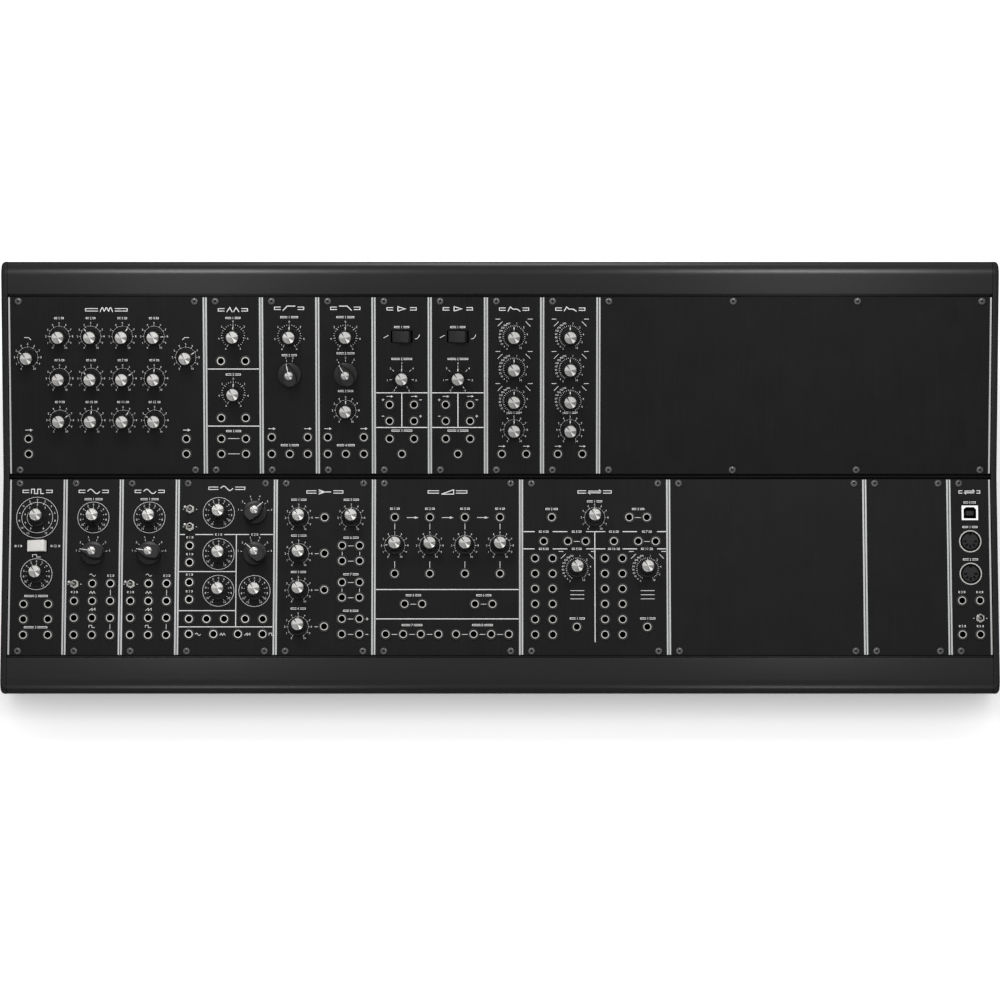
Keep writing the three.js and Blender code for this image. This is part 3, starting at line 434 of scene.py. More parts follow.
def cheek(name, node, side):
    """Rings of the outline from the inner face out: straight, then drawn in along the fillet."""
    turns = np.radians(np.linspace(0, 90, 7))
    insets = [0, *(cheek_fillet * (1 - np.cos(turns)))]
    outs = [0, *(cheek_thickness - cheek_fillet + cheek_fillet * np.sin(turns))]
    rings = [along_x(case_outline(cheek_rise - inset), [side * (cheek_inner + out)])
             for inset, out in zip(insets, outs)]
    if side < 0:
        rings = rings[::-1]
    points = np.concatenate(rings)
    shape = Shape().add(points, capped(len(rings), len(rings[0])), anodised)
    return shape.make(name, "case", "black_anodised", node)


cheek("left_end_cheek", "left_cheek", -1)
cheek("right_end_cheek", "right_cheek", 1)


def turned(profile, sides, flutes=None):
    """A profile of (radius, height) turned about Z, from its lower axis end to its upper one.
    flutes, if given, scales each row's radius round the axis."""
    profile = np.asarray(profile, float)
    angle = np.arange(sides) * 2 * math.pi / sides
    radius = profile[:, :1] * np.ones((1, sides))
    if flutes:
        radius = radius * flutes(profile, angle)
    points = np.stack([radius * np.sin(-angle), radius * np.cos(angle),
                       np.repeat(profile[:, 1:], sides, axis=1)], axis=2)
    return points.reshape(-1, 3), capped(len(profile), sides)


def boxed(levels, x=0, y=0):
    """Rectangles (width, height, z) centred on (x, y), joined in rings and closed at both ends."""
    corners = [(x + side * width / 2, y + end * height / 2, z) for width, height, z in levels
               for side, end in ((-1, -1), (1, -1), (1, 1), (-1, 1))]
    return np.array(corners, float), capped(len(levels), 4)


def block(width, height, low, high, x=0, y=0):
    return boxed([(width, height, low), (width, height, high)], x, y)


def spun(points, degrees):
    """Turns points about Z, counterclockwise as seen from above."""
    c, s = math.cos(math.radians(degrees)), math.sin(math.radians(degrees))
    return np.asarray(points, float) @ np.array([[c, s, 0], [-s, c, 0], [0, 0, 1]])


# Screws: black nickel steel pan heads with a cross recess, in the panels' slotted corners. Two
# flat socket heads hold each end of a nose to its cheek, and pan heads hold the tray.
screw_black = Finish("black_nickel", (0.13, 0.13, 0.132), 0.3, Metallic=0.5).speckle(1500, 0.2)
# The recess finish is near black: painted shade for the cross recesses and hex sockets of the screw
# heads.
painted_recess_shadow = Finish("recess_shadow", (0.004, 0.004, 0.004), 0.8).speckle(2000, 0.1)
head_profile = [
    (2.3, -0.2), (2.6, 0.15), (2.58, 0.7), (2.3, 1.2), (1.7, 1.55), (0.95, 1.7), (0.5, 1.1)]
flat_head_profile = [(4.0, -0.6), (4.0, 0.05), (3.75, 0.2), (2.0, 0.2)]
flat_head_socket = [(1.9, 0), (1.9, 0.22)]


def screw(shape, lay, turn):
    """A turned head with a sunk middle, and the two bars of the cross that crosses it. The sunk middle
    and the bars are near black, painted shade for the cross recess.
    """
    points, faces = turned(head_profile, 16)
    shape.add(lay(points), faces[:-1], screw_black)
    shape.add(lay(points[-16:]), [tuple(range(16))], painted_recess_shadow)
    for bearing in (turn, turn + 90):
        bar, faces = block(2.7, 0.6, 1.2, 1.74)
        shape.add(lay(spun(bar, bearing)), faces, painted_recess_shadow)


for side_name, side in (("left", -1), ("right", 1)):
    heads = Shape()
    for tilt, nose_end in ((lower_tilt, -lower_end), (upper_tilt, upper_end)):
        for inset, rise in ((14, -8), (24, -44)):
            reach = nose_end - math.copysign(inset, nose_end)

            def on_cheek(points):
                across, up, out = points.T
                places = [side * (cheek_inner + cheek_thickness + out), reach + side * across, rise + up]
                return on_face(tilt, np.stack(places, axis=1))
            heads.put(on_cheek, turned(flat_head_profile, 32), screw_black)
            heads.put(on_cheek, turned(flat_head_socket, 6), painted_recess_shadow)
    heads.make(side_name + "_cheek_screws", "case", "bright_steel")

heads = Shape()
tray_places = [(lower_tilt, x, -reach) for x in (-335, -170, 0, 170, 335) for reach in (34, 108)]
tray_places += [(upper_tilt, x, reach) for x in (-335, 335) for reach in (34, 108)]
for tilt, x, reach in tray_places:
    def under_tray(points):
        return on_face(tilt, points * (1, -1, -1) + (x, reach, -case_depth))
    screw(heads, under_tray, x + reach)
heads.make("tray_screws", "case", "bright_steel")


# Panels: 2 mm aluminium plates, brushed up the face, coated black and printed in pale grey. A bright
# edge strip runs up each side, and the places of the jack sockets, the square socket, the switches and
# the shafts of the knobs with bodies of their own are cut through the plate.
panel_black = Finish("panel_black", (0.008, 0.008, 0.0082), 0.5, Specular_IOR_Level=0.13)
brushing = panel_black.noise(panel_black.place((2600, 25, 25)), 1, 3)
mottle = panel_black.noise(panel_black.place(), 40, 2)
panel_black.vary(brushing * 0.7 + mottle * 0.3, 0.16, 0.75, 1.3)
panel_black.bump(brushing, 0.000012)
print_grey = Finish("pale_print", (0.66, 0.66, 0.655), 0.6).speckle(700, 0.1, 0.88, 1.06)
edge_metal = Finish("bright_edge", (0.50, 0.505, 0.51), 0.38, Metallic=0.3)
edge_metal.speckle(1, 0.15, 0.92, 1.08, (400, 12, 12))
ink_high, mean_line, title_line = 0.06, 0.35, 0.6
plate_clearance = 0.15
edge_inset, edge_width, edge_high = 0.9, 1.15, 0.2
screw_inset, screw_rows = 7.5, (3.0, 125.5)
frame_inset, frame_line = 1.7, 0.6
label_height = 1.8


def plate(width, windows):
    """A panel's plate with rectangular windows (x, y, half width, half height), whose edges cut it
    into a grid of cells; a filled cell has a front and a back, and a wall where it meets none."""
    cuts = [[-size / 2, size / 2, *(w[i] + side * w[i + 2] for w in windows for side in (-1, 1))]
            for i, size in enumerate((width, panel_height))]
    xs, ys = [np.unique(np.round(places, 3)) for places in cuts]
    middle_x, middle_y = (xs[1:] + xs[:-1]) / 2, (ys[1:] + ys[:-1]) / 2
    core = np.ones((len(middle_y), len(middle_x)), bool)
    for x, y, w, h in windows:
        core &= ~((abs(middle_y - y) < h)[:, None] & (abs(middle_x - x) < w)[None, :])
    across, up = np.meshgrid(xs, ys)
    front = np.stack([across, up, across * 0], axis=2).reshape(-1, 3)
    under = len(front)
    index = np.arange(under).reshape(across.shape)
    a, b, c, d = index[:-1, :-1], index[:-1, 1:], index[1:, 1:], index[1:, :-1]
    faces = [np.stack([a, b, c, d], 2)[core], np.stack([d, c, b, a], 2)[core] + under]
    filled = np.pad(core, 1)
    sides = ((filled[:-2, 1:-1], a, b), (filled[2:, 1:-1], c, d),
             (filled[1:-1, :-2], d, a), (filled[1:-1, 2:], b, c))
    for beyond, first, second in sides:
        jambs = np.stack([first + under, second + under, second, first], 2)
        faces.append(jambs[core & ~beyond])
    return np.concatenate([front, front - (0, 0, plate_thick)]), np.concatenate(faces).tolist()


def strip(path, width, closed=False, high=ink_high):
    """A flat line along a path: each point moves half the width along the mean normal of its two
    segments, lengthened at a corner to keep the width, and each edge has a high and a low point."""
    path = np.asarray(path, float)
    steps = np.diff(np.vstack([path, path[:1]]) if closed else path, axis=0)
    steps /= np.linalg.norm(steps, axis=1)[:, None]
    ahead = steps if closed else np.vstack([steps, steps[-1:]])
    behind = np.roll(steps, 1, axis=0) if closed else np.vstack([steps[:1], steps])
    mean = ahead + behind
    mean /= np.linalg.norm(mean, axis=1)[:, None]
    reach = width / 2 / np.maximum((mean * ahead).sum(axis=1), 0.4)
    side = np.stack([-mean[:, 1], mean[:, 0]], axis=1) * reach[:, None]
    ring = [np.insert(path + way * side, 2, z, axis=1)
            for way, z in ((1, high), (-1, high), (-1, 0), (1, 0))]
    faces = grid(len(path), 4, closed_rows=True) if closed else capped(len(path), 4)
    return np.stack(ring, axis=1).reshape(-1, 3), faces


def arc_points(x, v, radius, first, last, count):
    """Points of an arc, even in angle, in degrees clockwise from the top."""
    angle = np.radians(np.linspace(first, last, count))
    return np.stack([x + radius * np.sin(angle), v - radius * np.cos(angle)], axis=1)


glyphs = {}


def glyph(text, height):
    """A word's mesh from the default typeface, its middle on the origin and its foot on the plate."""
    if text not in glyphs:
        words = bpy.data.curves.new("numeral", "FONT")
        words.body, words.extrude, words.resolution_u = text, 0.5, 2
        holder = bpy.data.objects.new("numeral", words)
        bpy.context.scene.collection.objects.link(holder)
        bpy.context.view_layer.update()
        mesh = bpy.data.meshes.new_from_object(holder)
        points = np.empty(len(mesh.vertices) * 3)
        mesh.vertices.foreach_get("co", points)
        points = points.reshape(-1, 3)
        low, high = points.min(axis=0), points.max(axis=0)
        points[:, :2] = (points[:, :2] - (low[:2] + high[:2]) / 2) / (high[1] - low[1])
        glyphs[text] = points, [tuple(face.vertices) for face in mesh.polygons]
        bpy.data.objects.remove(holder)
    points, faces = glyphs[text]
    return points * (height, height, ink_high) + (0, 0, ink_high / 2), faces


# Signs: a small printed picture of what a module does stands where the real one has its title,
# between two rules, and a numeral between rules marks each control and socket.
wave_x = np.linspace(0, 1, 17)
signs = {
    "bank": [np.stack([wave_x, abs(np.sin(wave_x * 3 * math.pi)) - 0.5], 1)],
    "band": [[(0, -0.5), (0.25, 0.5), (0.45, -0.5)], [(0.55, -0.5), (0.75, 0.5), (1, -0.5)]],
    "high": [[(0, -0.5), (0.35, 0.5), (1, 0.5)]],
    "low": [[(0, 0.5), (0.65, 0.5), (1, -0.5)]],
    "amplifier": [[(0.2, -0.5), (0.2, 0.5), (0.8, 0), (0.2, -0.5)]],
    "envelope": [[(0, -0.5), (0.2, 0.5), (0.4, 0), (0.75, 0), (1, -0.5)]],
    "clock": [[(0, -0.5), (0, 0.5), (0.25, 0.5), (0.25, -0.5), (0.5, -0.5), (0.5, 0.5), (0.75, 0.5),
               (0.75, -0.5), (1, -0.5)]],
    "sine": [np.stack([wave_x, np.sin(wave_x * 2 * math.pi) / 2], 1)],
    "triangle": [[(0, -0.5), (0.25, 0.5), (0.5, -0.5), (0.75, 0.5), (1, -0.5)]],
    "saw": [[(0, -0.5), (0.5, 0.5), (0.5, -0.5), (1, 0.5), (1, -0.5)]],
    "pulse": [[(0, -0.5), (0, 0.5), (0.5, 0.5), (0.5, -0.5), (1, -0.5)]],
    "mix": [[(0, 0.5), (0.5, 0), (1, 0)], [(0, 0), (0.5, 0)], [(0, -0.5), (0.5, 0)]],
    "wedge": [[(0, -0.5), (1, 0.5), (1, -0.5), (0, -0.5)]],
    "arrows": [[(0, 0.2), (1, 0.2), (0.85, 0.5)], [(1, -0.2), (0, -0.2), (0.15, -0.5)]],
    "right": [[(0, 0), (1, 0)], [(0.7, 0.4), (1, 0), (0.7, -0.4)]],
}


class Panel:
    """One module's panel while it is drawn. A place is x from its middle and v from its top."""

    def __init__(self, name, start, pitches, upper):
        self.name = name
        self.width = pitches * pitch
        self.tilt = upper_tilt if upper else lower_tilt
        self.middle = start * pitch + (self.width - row_width) / 2
        self.top = kink_gap + panel_height if upper else -kink_gap
        self.windows, self.sheet, self.metal, self.knobs = [], Shape(), Shape(), Shape()

    def at(self, x, v, turn=0):
        """Gives what lays points on the panel at a place, turned clockwise in degrees."""
        place = (self.middle + x, self.top - v, 0)
        return lambda points: on_face(self.tilt, spun(points, -turn) + place)

    def window(self, x, v, half_width, half_height):
        self.windows.append((x, panel_height / 2 - v, half_width, half_height))

    def line(self, path, width=mean_line, closed=False):
        path = np.asarray(path, float) * (1, -1)
        self.sheet.put(self.at(0, 0), strip(path, width, closed), print_grey)

    def across(self, v, *spans, width=mean_line):
        for start, stop in spans:
            self.line([(start, v), (stop, v)], width)

    def down(self, x, *spans, width=mean_line):
        for start, stop in spans:
            self.line([(x, start), (x, stop)], width)

    def rules(self, *rows):
        """Lines of a printed frame, from side to side."""
        end = self.width / 2 - frame_inset
        for v in rows:
            self.across(v, (-end, end), width=frame_line)

    def plus(self, x, v, reach, cross=True):
        """A plus, or a minus where it has no cross."""
        self.across(v, (x - reach, x + reach), width=0.4)
        if cross:
            self.down(x, (v - reach, v + reach), width=0.4)

    def text(self, x, v, words, height):
        self.sheet.put(self.at(x, v), glyph(str(words), height), print_grey)

    def sign(self, kind, x, v, width=5.0, height=1.8, line=0.4):
        for path in signs[kind]:
            self.line(np.asarray(path, float) * (width, -height) + (x - width / 2, v), line)

    def bracket(self, x, v, reach, half_height, width):
        """Two rules that meet in a square end, open towards the sign or numeral beside them."""
        top, foot = v - half_height, v + half_height
        self.line([(x, top), (x + reach, top), (x + reach, foot), (x, foot)], width)

    def labels(self, *entries):
        """Numerals of (x, v, numeral, rule), each between two rules of that length."""
        for x, v, numeral, rule in entries:
            self.text(x, v, numeral, label_height)
            half = 0.42 * label_height * len(str(numeral)) + 0.5
            for side in (-1, 1):
                self.bracket(x + side * half, v, side * rule, 0.5, 0.36)

    def finish(self, kind=None, v=9.3, width=9.0, rule=4.5):
        """Prints the title sign, cuts the plate, lays its strips and screws, makes the pieces."""
        if kind:
            self.sign(kind, 0, v, width, 3.2, title_line)
            for side in (-1, 1):
                self.bracket(side * (width / 2 + 1.6), v, side * rule, 0.9, 0.5)
        half = self.width / 2
        sheet = plate(self.width - 2 * plate_clearance, self.windows)
        self.sheet.put(self.at(0, panel_height / 2), sheet, panel_black)
        for x in (edge_inset - half, half - edge_inset):
            edge = strip([(x, -0.3), (x, 0.3 - panel_height)], edge_width, high=edge_high)
            self.sheet.put(self.at(0, 0), edge, edge_metal)
        columns = 1 if half < 25 else 2 if half < 100 else 4
        for x in np.linspace(screw_inset, self.width - screw_inset, columns):
            for v in screw_rows:
                screw(self.metal, self.at(x - half, v), 7 * x + 5 * v)
        node = self.name + "_panel"
        self.sheet.make(self.name + "_plate", "case", "panel_black", node)
        self.metal.make(self.name + "_sockets", "case", "bright_steel", node)
        if self.knobs.count:
            self.knobs.make(self.name + "_knobs", "case", "black_plastic", node)


# Jack sockets: a black knurled nut holds each one, round a bright nickel collar with a 4.5 mm bore that
# runs into the body behind the plate. The bore's wall and floor are near black, painted shade for the
# depth of the hole over the body's black plastic.
nickel = Finish("bright_nickel", (0.72, 0.70, 0.67), 0.26, Metallic=0.55)
nickel.speckle(900, 0.18, 0.85, 1.1)
moulded = Finish("black_moulding", (0.0082, 0.0082, 0.0086), 0.4)
grain = moulded.noise(moulded.place(), 2500, 2)
moulded.vary(moulded.noise(moulded.place(), 120) * 0.5 + grain * 0.5, 0.14, 0.8, 1.25)
moulded.bump(grain, 0.00001)
nut_black = Finish("black_chromate", (0.012, 0.012, 0.0122), 0.4).speckle(1200, 0.15, 0.8, 1.2)
# Near black for bores, pockets, mouths and slots: black plastic, darkened further by painted shade that
# stands in for the depth of each hole.
bore_black_and_shade = Finish("socket_shadow", (0.003, 0.003, 0.003), 0.9, Specular_IOR_Level=0.1)
bore_black_and_shade.speckle(900, 0.1)
jack_profile = [
    (2.5, -5.4), (2.5, -0.05), (4.3, -0.05), (4.2, 0.75), (3.15, 0.85),
    (2.95, 0.85), (2.93, 1.62), (2.82, 1.75), (2.4, 1.75), (2.27, 1.62), (2.25, -5.0),
]
jack_bands = [nut_black] * 5 + [nickel] * 4 + [bore_black_and_shade]
jack_hole, shaft_hole, lever_hole = 2.55, 3.7, 2.2


def turn_in(shape, lay, profile, sides, bands, flutes=None, turn=0):
    """Adds a turned form whose bands between profile points each have their own finish; its two closing
    faces take the first and the last one. The pattern map is the plan in millimetres, turned back by the
    form's own turn, so that a cap's painted highlight sectors keep their place as its knob turns, as a
    reflection would."""
    points, faces = turned(profile, sides, flutes)
    start = 0
    for finish, run in itertools.groupby(bands):
        stop = start + len(list(run))
        chosen = faces[start * sides:stop * sides]
        chosen += faces[-2:-1] if start == 0 else []
        chosen += faces[-1:] if stop == len(bands) else []
        rows = points[start * sides:(stop + 1) * sides]
        moved = [[i - start * sides for i in face] for face in chosen]
        shape.add(lay(rows), moved, finish, spun(rows, -turn)[:, :2])
        start = stop


def jacks(panel, columns, rows):
    """A socket at every crossing of the columns and rows."""
    for x, v in itertools.product(columns, rows):
        panel.window(x, v, jack_hole, jack_hole)
        turn_in(panel.metal, panel.at(x, v), jack_profile, 12, jack_bands)


# Round knobs: a black moulded body with a skirt and eighteen flutes on a pot shaft, a white line down
# its flank, and a turned aluminium cap with fine rings. The cap's bright and dark sectors are painted
# highlights in its colour.
cap_colour = np.array([0.76, 0.75, 0.73])
cap_metal = Finish("spun_aluminium_painted_highlights", cap_colour, 0.3, Metallic=0.6)
cap_map = cap_metal.node("ShaderNodeUVMap", {"uv_map": "surface"})
plan_x = cap_metal.node("ShaderNodeSeparateXYZ", {}, {0: cap_map})
plan_y = Value(cap_metal, plan_x.socket.node.outputs[1])
bearing = cap_metal.node("ShaderNodeMath", {"operation": "ARCTAN2"}, {0: plan_y, 1: plan_x})
# The cap's colour is painted in sectors round its middle: bright painted highlights and dark painted
# reflections, placed where light thrown by turned rings would fall. The rings' bump below is real
# relief.
painted_highlight_sectors = [
    (0, 0.7), (6, 0.48), (84, 0.46), (90, 0.36), (113, 0.36), (118, 1.25), (145, 1.25), (151, 0.32),
    (188, 0.34), (196, 0.95), (295, 0.95), (300, 0.14), (310, 0.14), (315, 0.95), (345, 0.9), (360, 0.7)]
tones = {"stops": [(turn / 360, cap_colour * tone) for turn, tone in painted_highlight_sectors]}
around = {0: bearing / (2 * math.pi) + 0.5}
cap_metal.feed("Base Color", cap_metal.node("ShaderNodeValToRGB", tones, around))
ring_count = (plan_x * plan_x + plan_y * plan_y) ** 0.5 * (2 * math.pi / 0.22)
cap_metal.bump(cap_metal.node("ShaderNodeMath", {"operation": "SINE"}, {0: ring_count}), 0.000006)
white_line = Finish("white_line", (0.72, 0.72, 0.70), 0.5).speckle(800, 0.1, 0.9, 1.05)
knob_profile = [
    (6.75, 0.4), (6.75, 1.6), (6.45, 2.15), (5.7, 2.7), (5.3, 3.6), (5.2, 4.4), (5.0, 9.0),
    (4.75, 13.3), (4.45, 14.0), (4.28, 14.1), (4.3, 14.7), (4.12, 14.93), (3.2, 14.8),
    (2.4, 14.93), (1.6, 14.8), (0.7, 14.92),
]
knob_bands = [moulded] * 9 + [cap_metal] * 6
knob_sides = 72
knob_line = [(5.3, 4.6), (5.5, 3.5), (5.95, 2.75), (6.6, 2.3), (6.85, 1.7)]
shaft_profile = [(3.0, -8.5), (3.0, 0.6)]


def knob_flutes(profile, angle):
    """The grip's radius dips by a twentieth at each of eighteen flutes, between its two ends."""
    grip = ((profile[:, 1] > 3.5) & (profile[:, 1] < 13.6))[:, None]
    return 1 - 0.055 * grip * (0.5 + 0.5 * np.cos(18 * angle)) ** 2


def round_knob(shape, lay, turn):
    """The fluted body with its cap, and a line whose four edges follow the skirt's flank."""
    turn_in(shape, lay, knob_profile, knob_sides, knob_bands, knob_flutes, turn)
    path = np.array(knob_line)
    rings = [np.insert(path - (deep, deep * 0.4), 0, x, axis=1)
             for x, deep in ((-0.3, 0), (0.3, 0), (0.3, 0.7), (-0.3, 0.7))]
    line = np.stack(rings, axis=1).reshape(-1, 3)
    shape.put(lay, (line, capped(len(path), 4)), white_line)


def mount(panel, draw, x, v, turn, node):
    """Draws a knob on its panel or, where it has a body of its own, with its shaft in a hole."""
    lay = panel.at(x, v, turn)
    shape = Shape() if node else panel.knobs
    draw(shape, lay, turn)
    if node:
        panel.window(x, v, shaft_hole, shaft_hole)
        shape.put(lay, turned(shaft_profile, 24), nickel)
        shape.make(node + "_dressed", node, "black_plastic", node)


# Dials: what is printed round a knob. Most run from 0 to 10 over 300 degrees; the others are
# centred on 0, or have their numerals inside a printed circle.
both_ways = [abs(n) for n in range(-12, 13, 2)]
corner_strokes = [
    (side * near, top, side * far, foot, width) for side in (-1, 1)
    for near, top, far, foot, width in ((8.4, -10.8, 11.8, -7.4, 0.36), (10.0, -12.6, 13.4, -12.6, 0.4))]
dials = {
    "ten": {"ticks": [(-150, 150, 11, 7.2, 8.4, 0.23)], "arcs": [(-150, 150, 7.4, 0.11)],
            "numerals": [(-150, 150, 9.6, 1.4, range(11))]},
    "six": {"ticks": [(-150, 150, 7, 7.2, 9.0, 0.3)], "numerals": [(-150, 150, 10.6, 1.4, range(7))]},
    "centre": {"ticks": [(-150, 150, 7, 7.2, 9.0, 0.3), (-137.5, 137.5, 23, 7.9, 8.6, 0.3)],
               "numerals": [(-150, 150, 10.6, 1.4, both_ways[3:-3])]},
    "times": {"ticks": [(-150, 150, 31, 7.3, 8.3, 0.22)], "strokes": corner_strokes,
              "numerals": [(-150, -24, 10.3, 1.25, (2, 4, 10, 20, 40, 60, 100, 200, 400, 600)),
                           (12, 150, 9.6, 1.4, (1, 2, 4, 6, 10))]},
    "double": {"ticks": [(-25, 25, 3, 10.2, 12.0, 0.3)],
               "arcs": [(0, 360, 15.0, 0.26), (0, 360, 11.2, 0.26), (-150, -60, 7.3, 0.25)],
               "numerals": [(-150, 150, 13.1, 1.4, both_ways), (-150, 150, 9.2, 1.4, both_ways[2:-2])]},
    "circle": {"ticks": [(-150, 150, 13, 7.2, 8.0, 0.3)], "arcs": [(0, 360, 11.35, 0.26)],
               "numerals": [(-150, 150, 9.4, 1.4, both_ways)]},
}


def marks(panel, x, v, ticks=(), arcs=(), numerals=(), strokes=()):
    """Prints ticks (first, last, count, near, far, width), arcs (first, last, radius, width),
    numerals (first, last, radius, height, words) and strokes (x, v, x, v, width) round a place."""
    for first, last, count, near, far, width in ticks:
        for tick in zip(*(arc_points(x, v, radius, first, last, count) for radius in (near, far))):
            panel.line(tick, width)
    for first, last, radius, width in arcs:
        full = last - first == 360
        path = arc_points(x, v, radius, first, last, int((last - first) / 12) + 1)
        panel.line(path[:0:-1] if full else path, width, full)
    for first, last, radius, height, words in numerals:
        for place, word in zip(arc_points(x, v, radius, first, last, len(words)), words):
            panel.text(*place, word, height)
    for near_x, near_v, far_x, far_v, width in strokes:
        panel.line([(x + near_x, v + near_v), (x + far_x, v + far_v)], width)


def knob(panel, x, v, turn=0, scale="ten", node=None):
    marks(panel, x, v, **dials[scale])
    mount(panel, round_knob, x, v, turn, node)


# Pointer knobs: a black moulded disc with a waisted grip that narrows to its pointer, on a rotary
# switch, with a white line on the grip and a small domed aluminium cap, which has the round knobs'
# painted highlight sectors.
grip_turns = [0, 9, 20, 45, 90, 125, 152, 180]
grip_shares = [0.985, 0.975, 0.72, 0.56, 0.56, 0.66, 0.94, 0.975]
disc_radius = 8.6
grip_levels = [(1.0, 2.8), (0.99, 12.4), (0.965, 13.2), (0.9, 13.6)]
disc_profile = [(disc_radius, 0.4), (disc_radius, 2.2), (8.4, 2.75), (7.9, 3.0)]
dome_profile = [(3.0, 13.3), (2.95, 14.2), (2.75, 14.55), (2.0, 14.6), (1.4, 14.72), (0.5, 14.68)]


def grip():
    """Rings of the grip's plan, its radius a smooth function of the bearing, drawn in at the top."""
    bearing = np.linspace(0, 360, knob_sides, endpoint=False)
    radius = np.interp(np.minimum(bearing, 360 - bearing), grip_turns, grip_shares)
    for _ in range(2):
        radius = (np.roll(radius, 1) + 2 * radius + np.roll(radius, -1)) / 4
    bearing = -np.radians(bearing)
    plan = np.stack([np.sin(bearing), np.cos(bearing)], 1) * radius[:, None] * disc_radius
    rings = [np.insert(plan * share, 2, z, axis=1) for share, z in grip_levels]
    return np.concatenate(rings), capped(len(grip_levels), knob_sides)


def pointer_knob(shape, lay, turn):
    turn_in(shape, lay, disc_profile, knob_sides, [moulded] * 3)
    shape.put(lay, grip(), moulded)
    turn_in(shape, lay, dome_profile, 40, [cap_metal] * 5, None, turn)
    shape.put(lay, block(0.42, 4.0, 13.4, 13.66, y=5.2), white_line)
    shape.put(lay, block(0.42, 0.7, 2.6, 13.5, y=8.1), white_line)


def pointer(panel, x, v, turn, reach, count, node=None):
    """Prints a switch's positions, even over its reach both ways, and mounts the pointer knob."""
    numerals = (-reach, reach, 12.2, 1.4, range(1, count + 1))
    marks(panel, x, v, [(-reach, reach, count, 9.3, 10.6, 0.3)], numerals=[numerals])
    mount(panel, pointer_knob, x, v, turn, node)


# Rocker switches: one moulded cap each, black or white, that stands high at its right end and
# tips in a narrow pocket of its housing.
white_cap = Finish("white_moulding", (0.62, 0.605, 0.585), 0.42).speckle(300, 0.12, 0.95, 1.04)
rocker_outline = np.array([
    (-0.5, 0.03), (-0.485, 0.09), (-0.45, 0.13), (0.3, 0.545), (0.35, 0.555), (0.385, 0.5),
    (0.46, 0.22), (0.495, 0.06), (0.5, -0.12), (-0.5, -0.12)])
rocker_length, rocker_width, rocker_edge = 14, 8.1, 0.35
pocket_length, pocket_width, housing_wall = 15.8, 8.8, 0.8


def rocker(panel, node, v, finish, slot):
    """The housing, and the outline of the cap's long side carried across its width."""
    lay = panel.at(0, v)
    panel.window(0, v, pocket_length / 2, pocket_width / 2)
    # The housing and its pocket take the near black bore finish: black plastic, darkened further by
    # painted shade in the pocket.
    levels = [(pocket_length + 2 * thick, pocket_width + 2 * thick, z) for thick, z in (
        (housing_wall, -7.8), (housing_wall, -0.05), (0, -0.05), (0, -7))]
    panel.knobs.put(lay, boxed(levels), bore_black_and_shade)
    outline = rocker_outline * (rocker_length, rocker_width)
    rings = [np.insert(outline, 1, y, axis=1) for y in (-rocker_width / 2, rocker_width / 2)]
    cap = Shape().put(lay, (np.concatenate(rings), capped(2, len(outline))), finish)
    piece = cap.make(node + "_dressed", node, slot, node)
    bevel = piece.modifiers.new("rounded_edges", "BEVEL")
    bevel.width, bevel.segments, bevel.limit_method = rocker_edge / 1000, 3, "ANGLE"
    bevel.angle_limit = math.radians(28)


# Lever switches: a nickel hex nut and threaded bushing with a polished bat lever in it, which
# rests tipped to the left.
bushing_profile = [(2.5, 0.15), (2.5, 3.2), (2.3, 3.5), (1.95, 3.5), (1.95, 0.2)]
nut_profile = [(3.3, -0.05), (3.3, 1.2), (3.0, 1.5), (2.45, 1.5), (2.45, -0.04)]
lever_profile = [
    (0.5, -1.1), (1.1, -0.7), (1.25, 0), (1.05, 0.7), (0.72, 1.3), (0.78, 7), (0.95, 11.4),
    (0.93, 12.2), (0.7, 12.75), (0.3, 12.98)]
lever_pivot = 0.6
lever_tilt = math.radians(14)


def lever(panel, x, v, node=None):
    """The nut and bushing, and the lever tipped about Y, on a body of its own where it has one."""
    lay = panel.at(x, v)
    panel.window(x, v, lever_hole, lever_hole)
    panel.metal.put(lay, turned(nut_profile, 6), nickel)
    turn_in(panel.metal, lay, bushing_profile, 20, [nickel] * 3 + [bore_black_and_shade])
    panel.across(v, (x - 5.2, x - 4.2), (x + 4.2, x + 5.2))
    points, faces = turned(lever_profile, 20)
    c, s = math.cos(lever_tilt), math.sin(lever_tilt)
    points = points @ np.array([[c, 0, s], [0, 1, 0], [-s, 0, c]]) + (0, 0, lever_pivot)
    shape = Shape() if node else panel.metal
    shape.put(lay, (points, faces), nickel)
    if node:
        shape.make(node + "_dressed", node, "bright_steel", node)


# Round and square sockets: a nickel ring round a black five-pin insert with a key at its top, and
# a white moulded frame round a square mouth with its tongue.
frame_white = Finish("white_frame", (0.84, 0.84, 0.83), 0.45).speckle(300, 0.1, 0.97, 1.02)
socket_profile = [
    (8.15, 0.01), (8.15, 0.7), (7.95, 1.0), (7.4, 1.0), (7.25, 0.8), (7.2, 0.05), (5.95, 0.05),
    (5.9, 0.35), (5.75, 0.5)]
socket_bands = [nickel] * 4 + [bore_black_and_shade] * 2 + [moulded] * 2


def din_socket(panel, x, v):
    """The ring and its insert, a slot for each pin round the lower half, and the key. The gap inside the
    ring and the slots and key, thin blocks on the insert, are near black: painted shade where the holes
    would be.
    """
    turn_in(panel.metal, panel.at(x, v), socket_profile, 48, socket_bands)
    for turn in (-90, -45, 0, 45, 90):
        panel.metal.put(panel.at(x, v, turn), block(1.4, 2.3, 0.4, 0.53, y=-3.75), bore_black_and_shade)
    panel.metal.put(panel.at(x, v), block(2.1, 1.4, 0.4, 0.53, y=5.2), bore_black_and_shade)


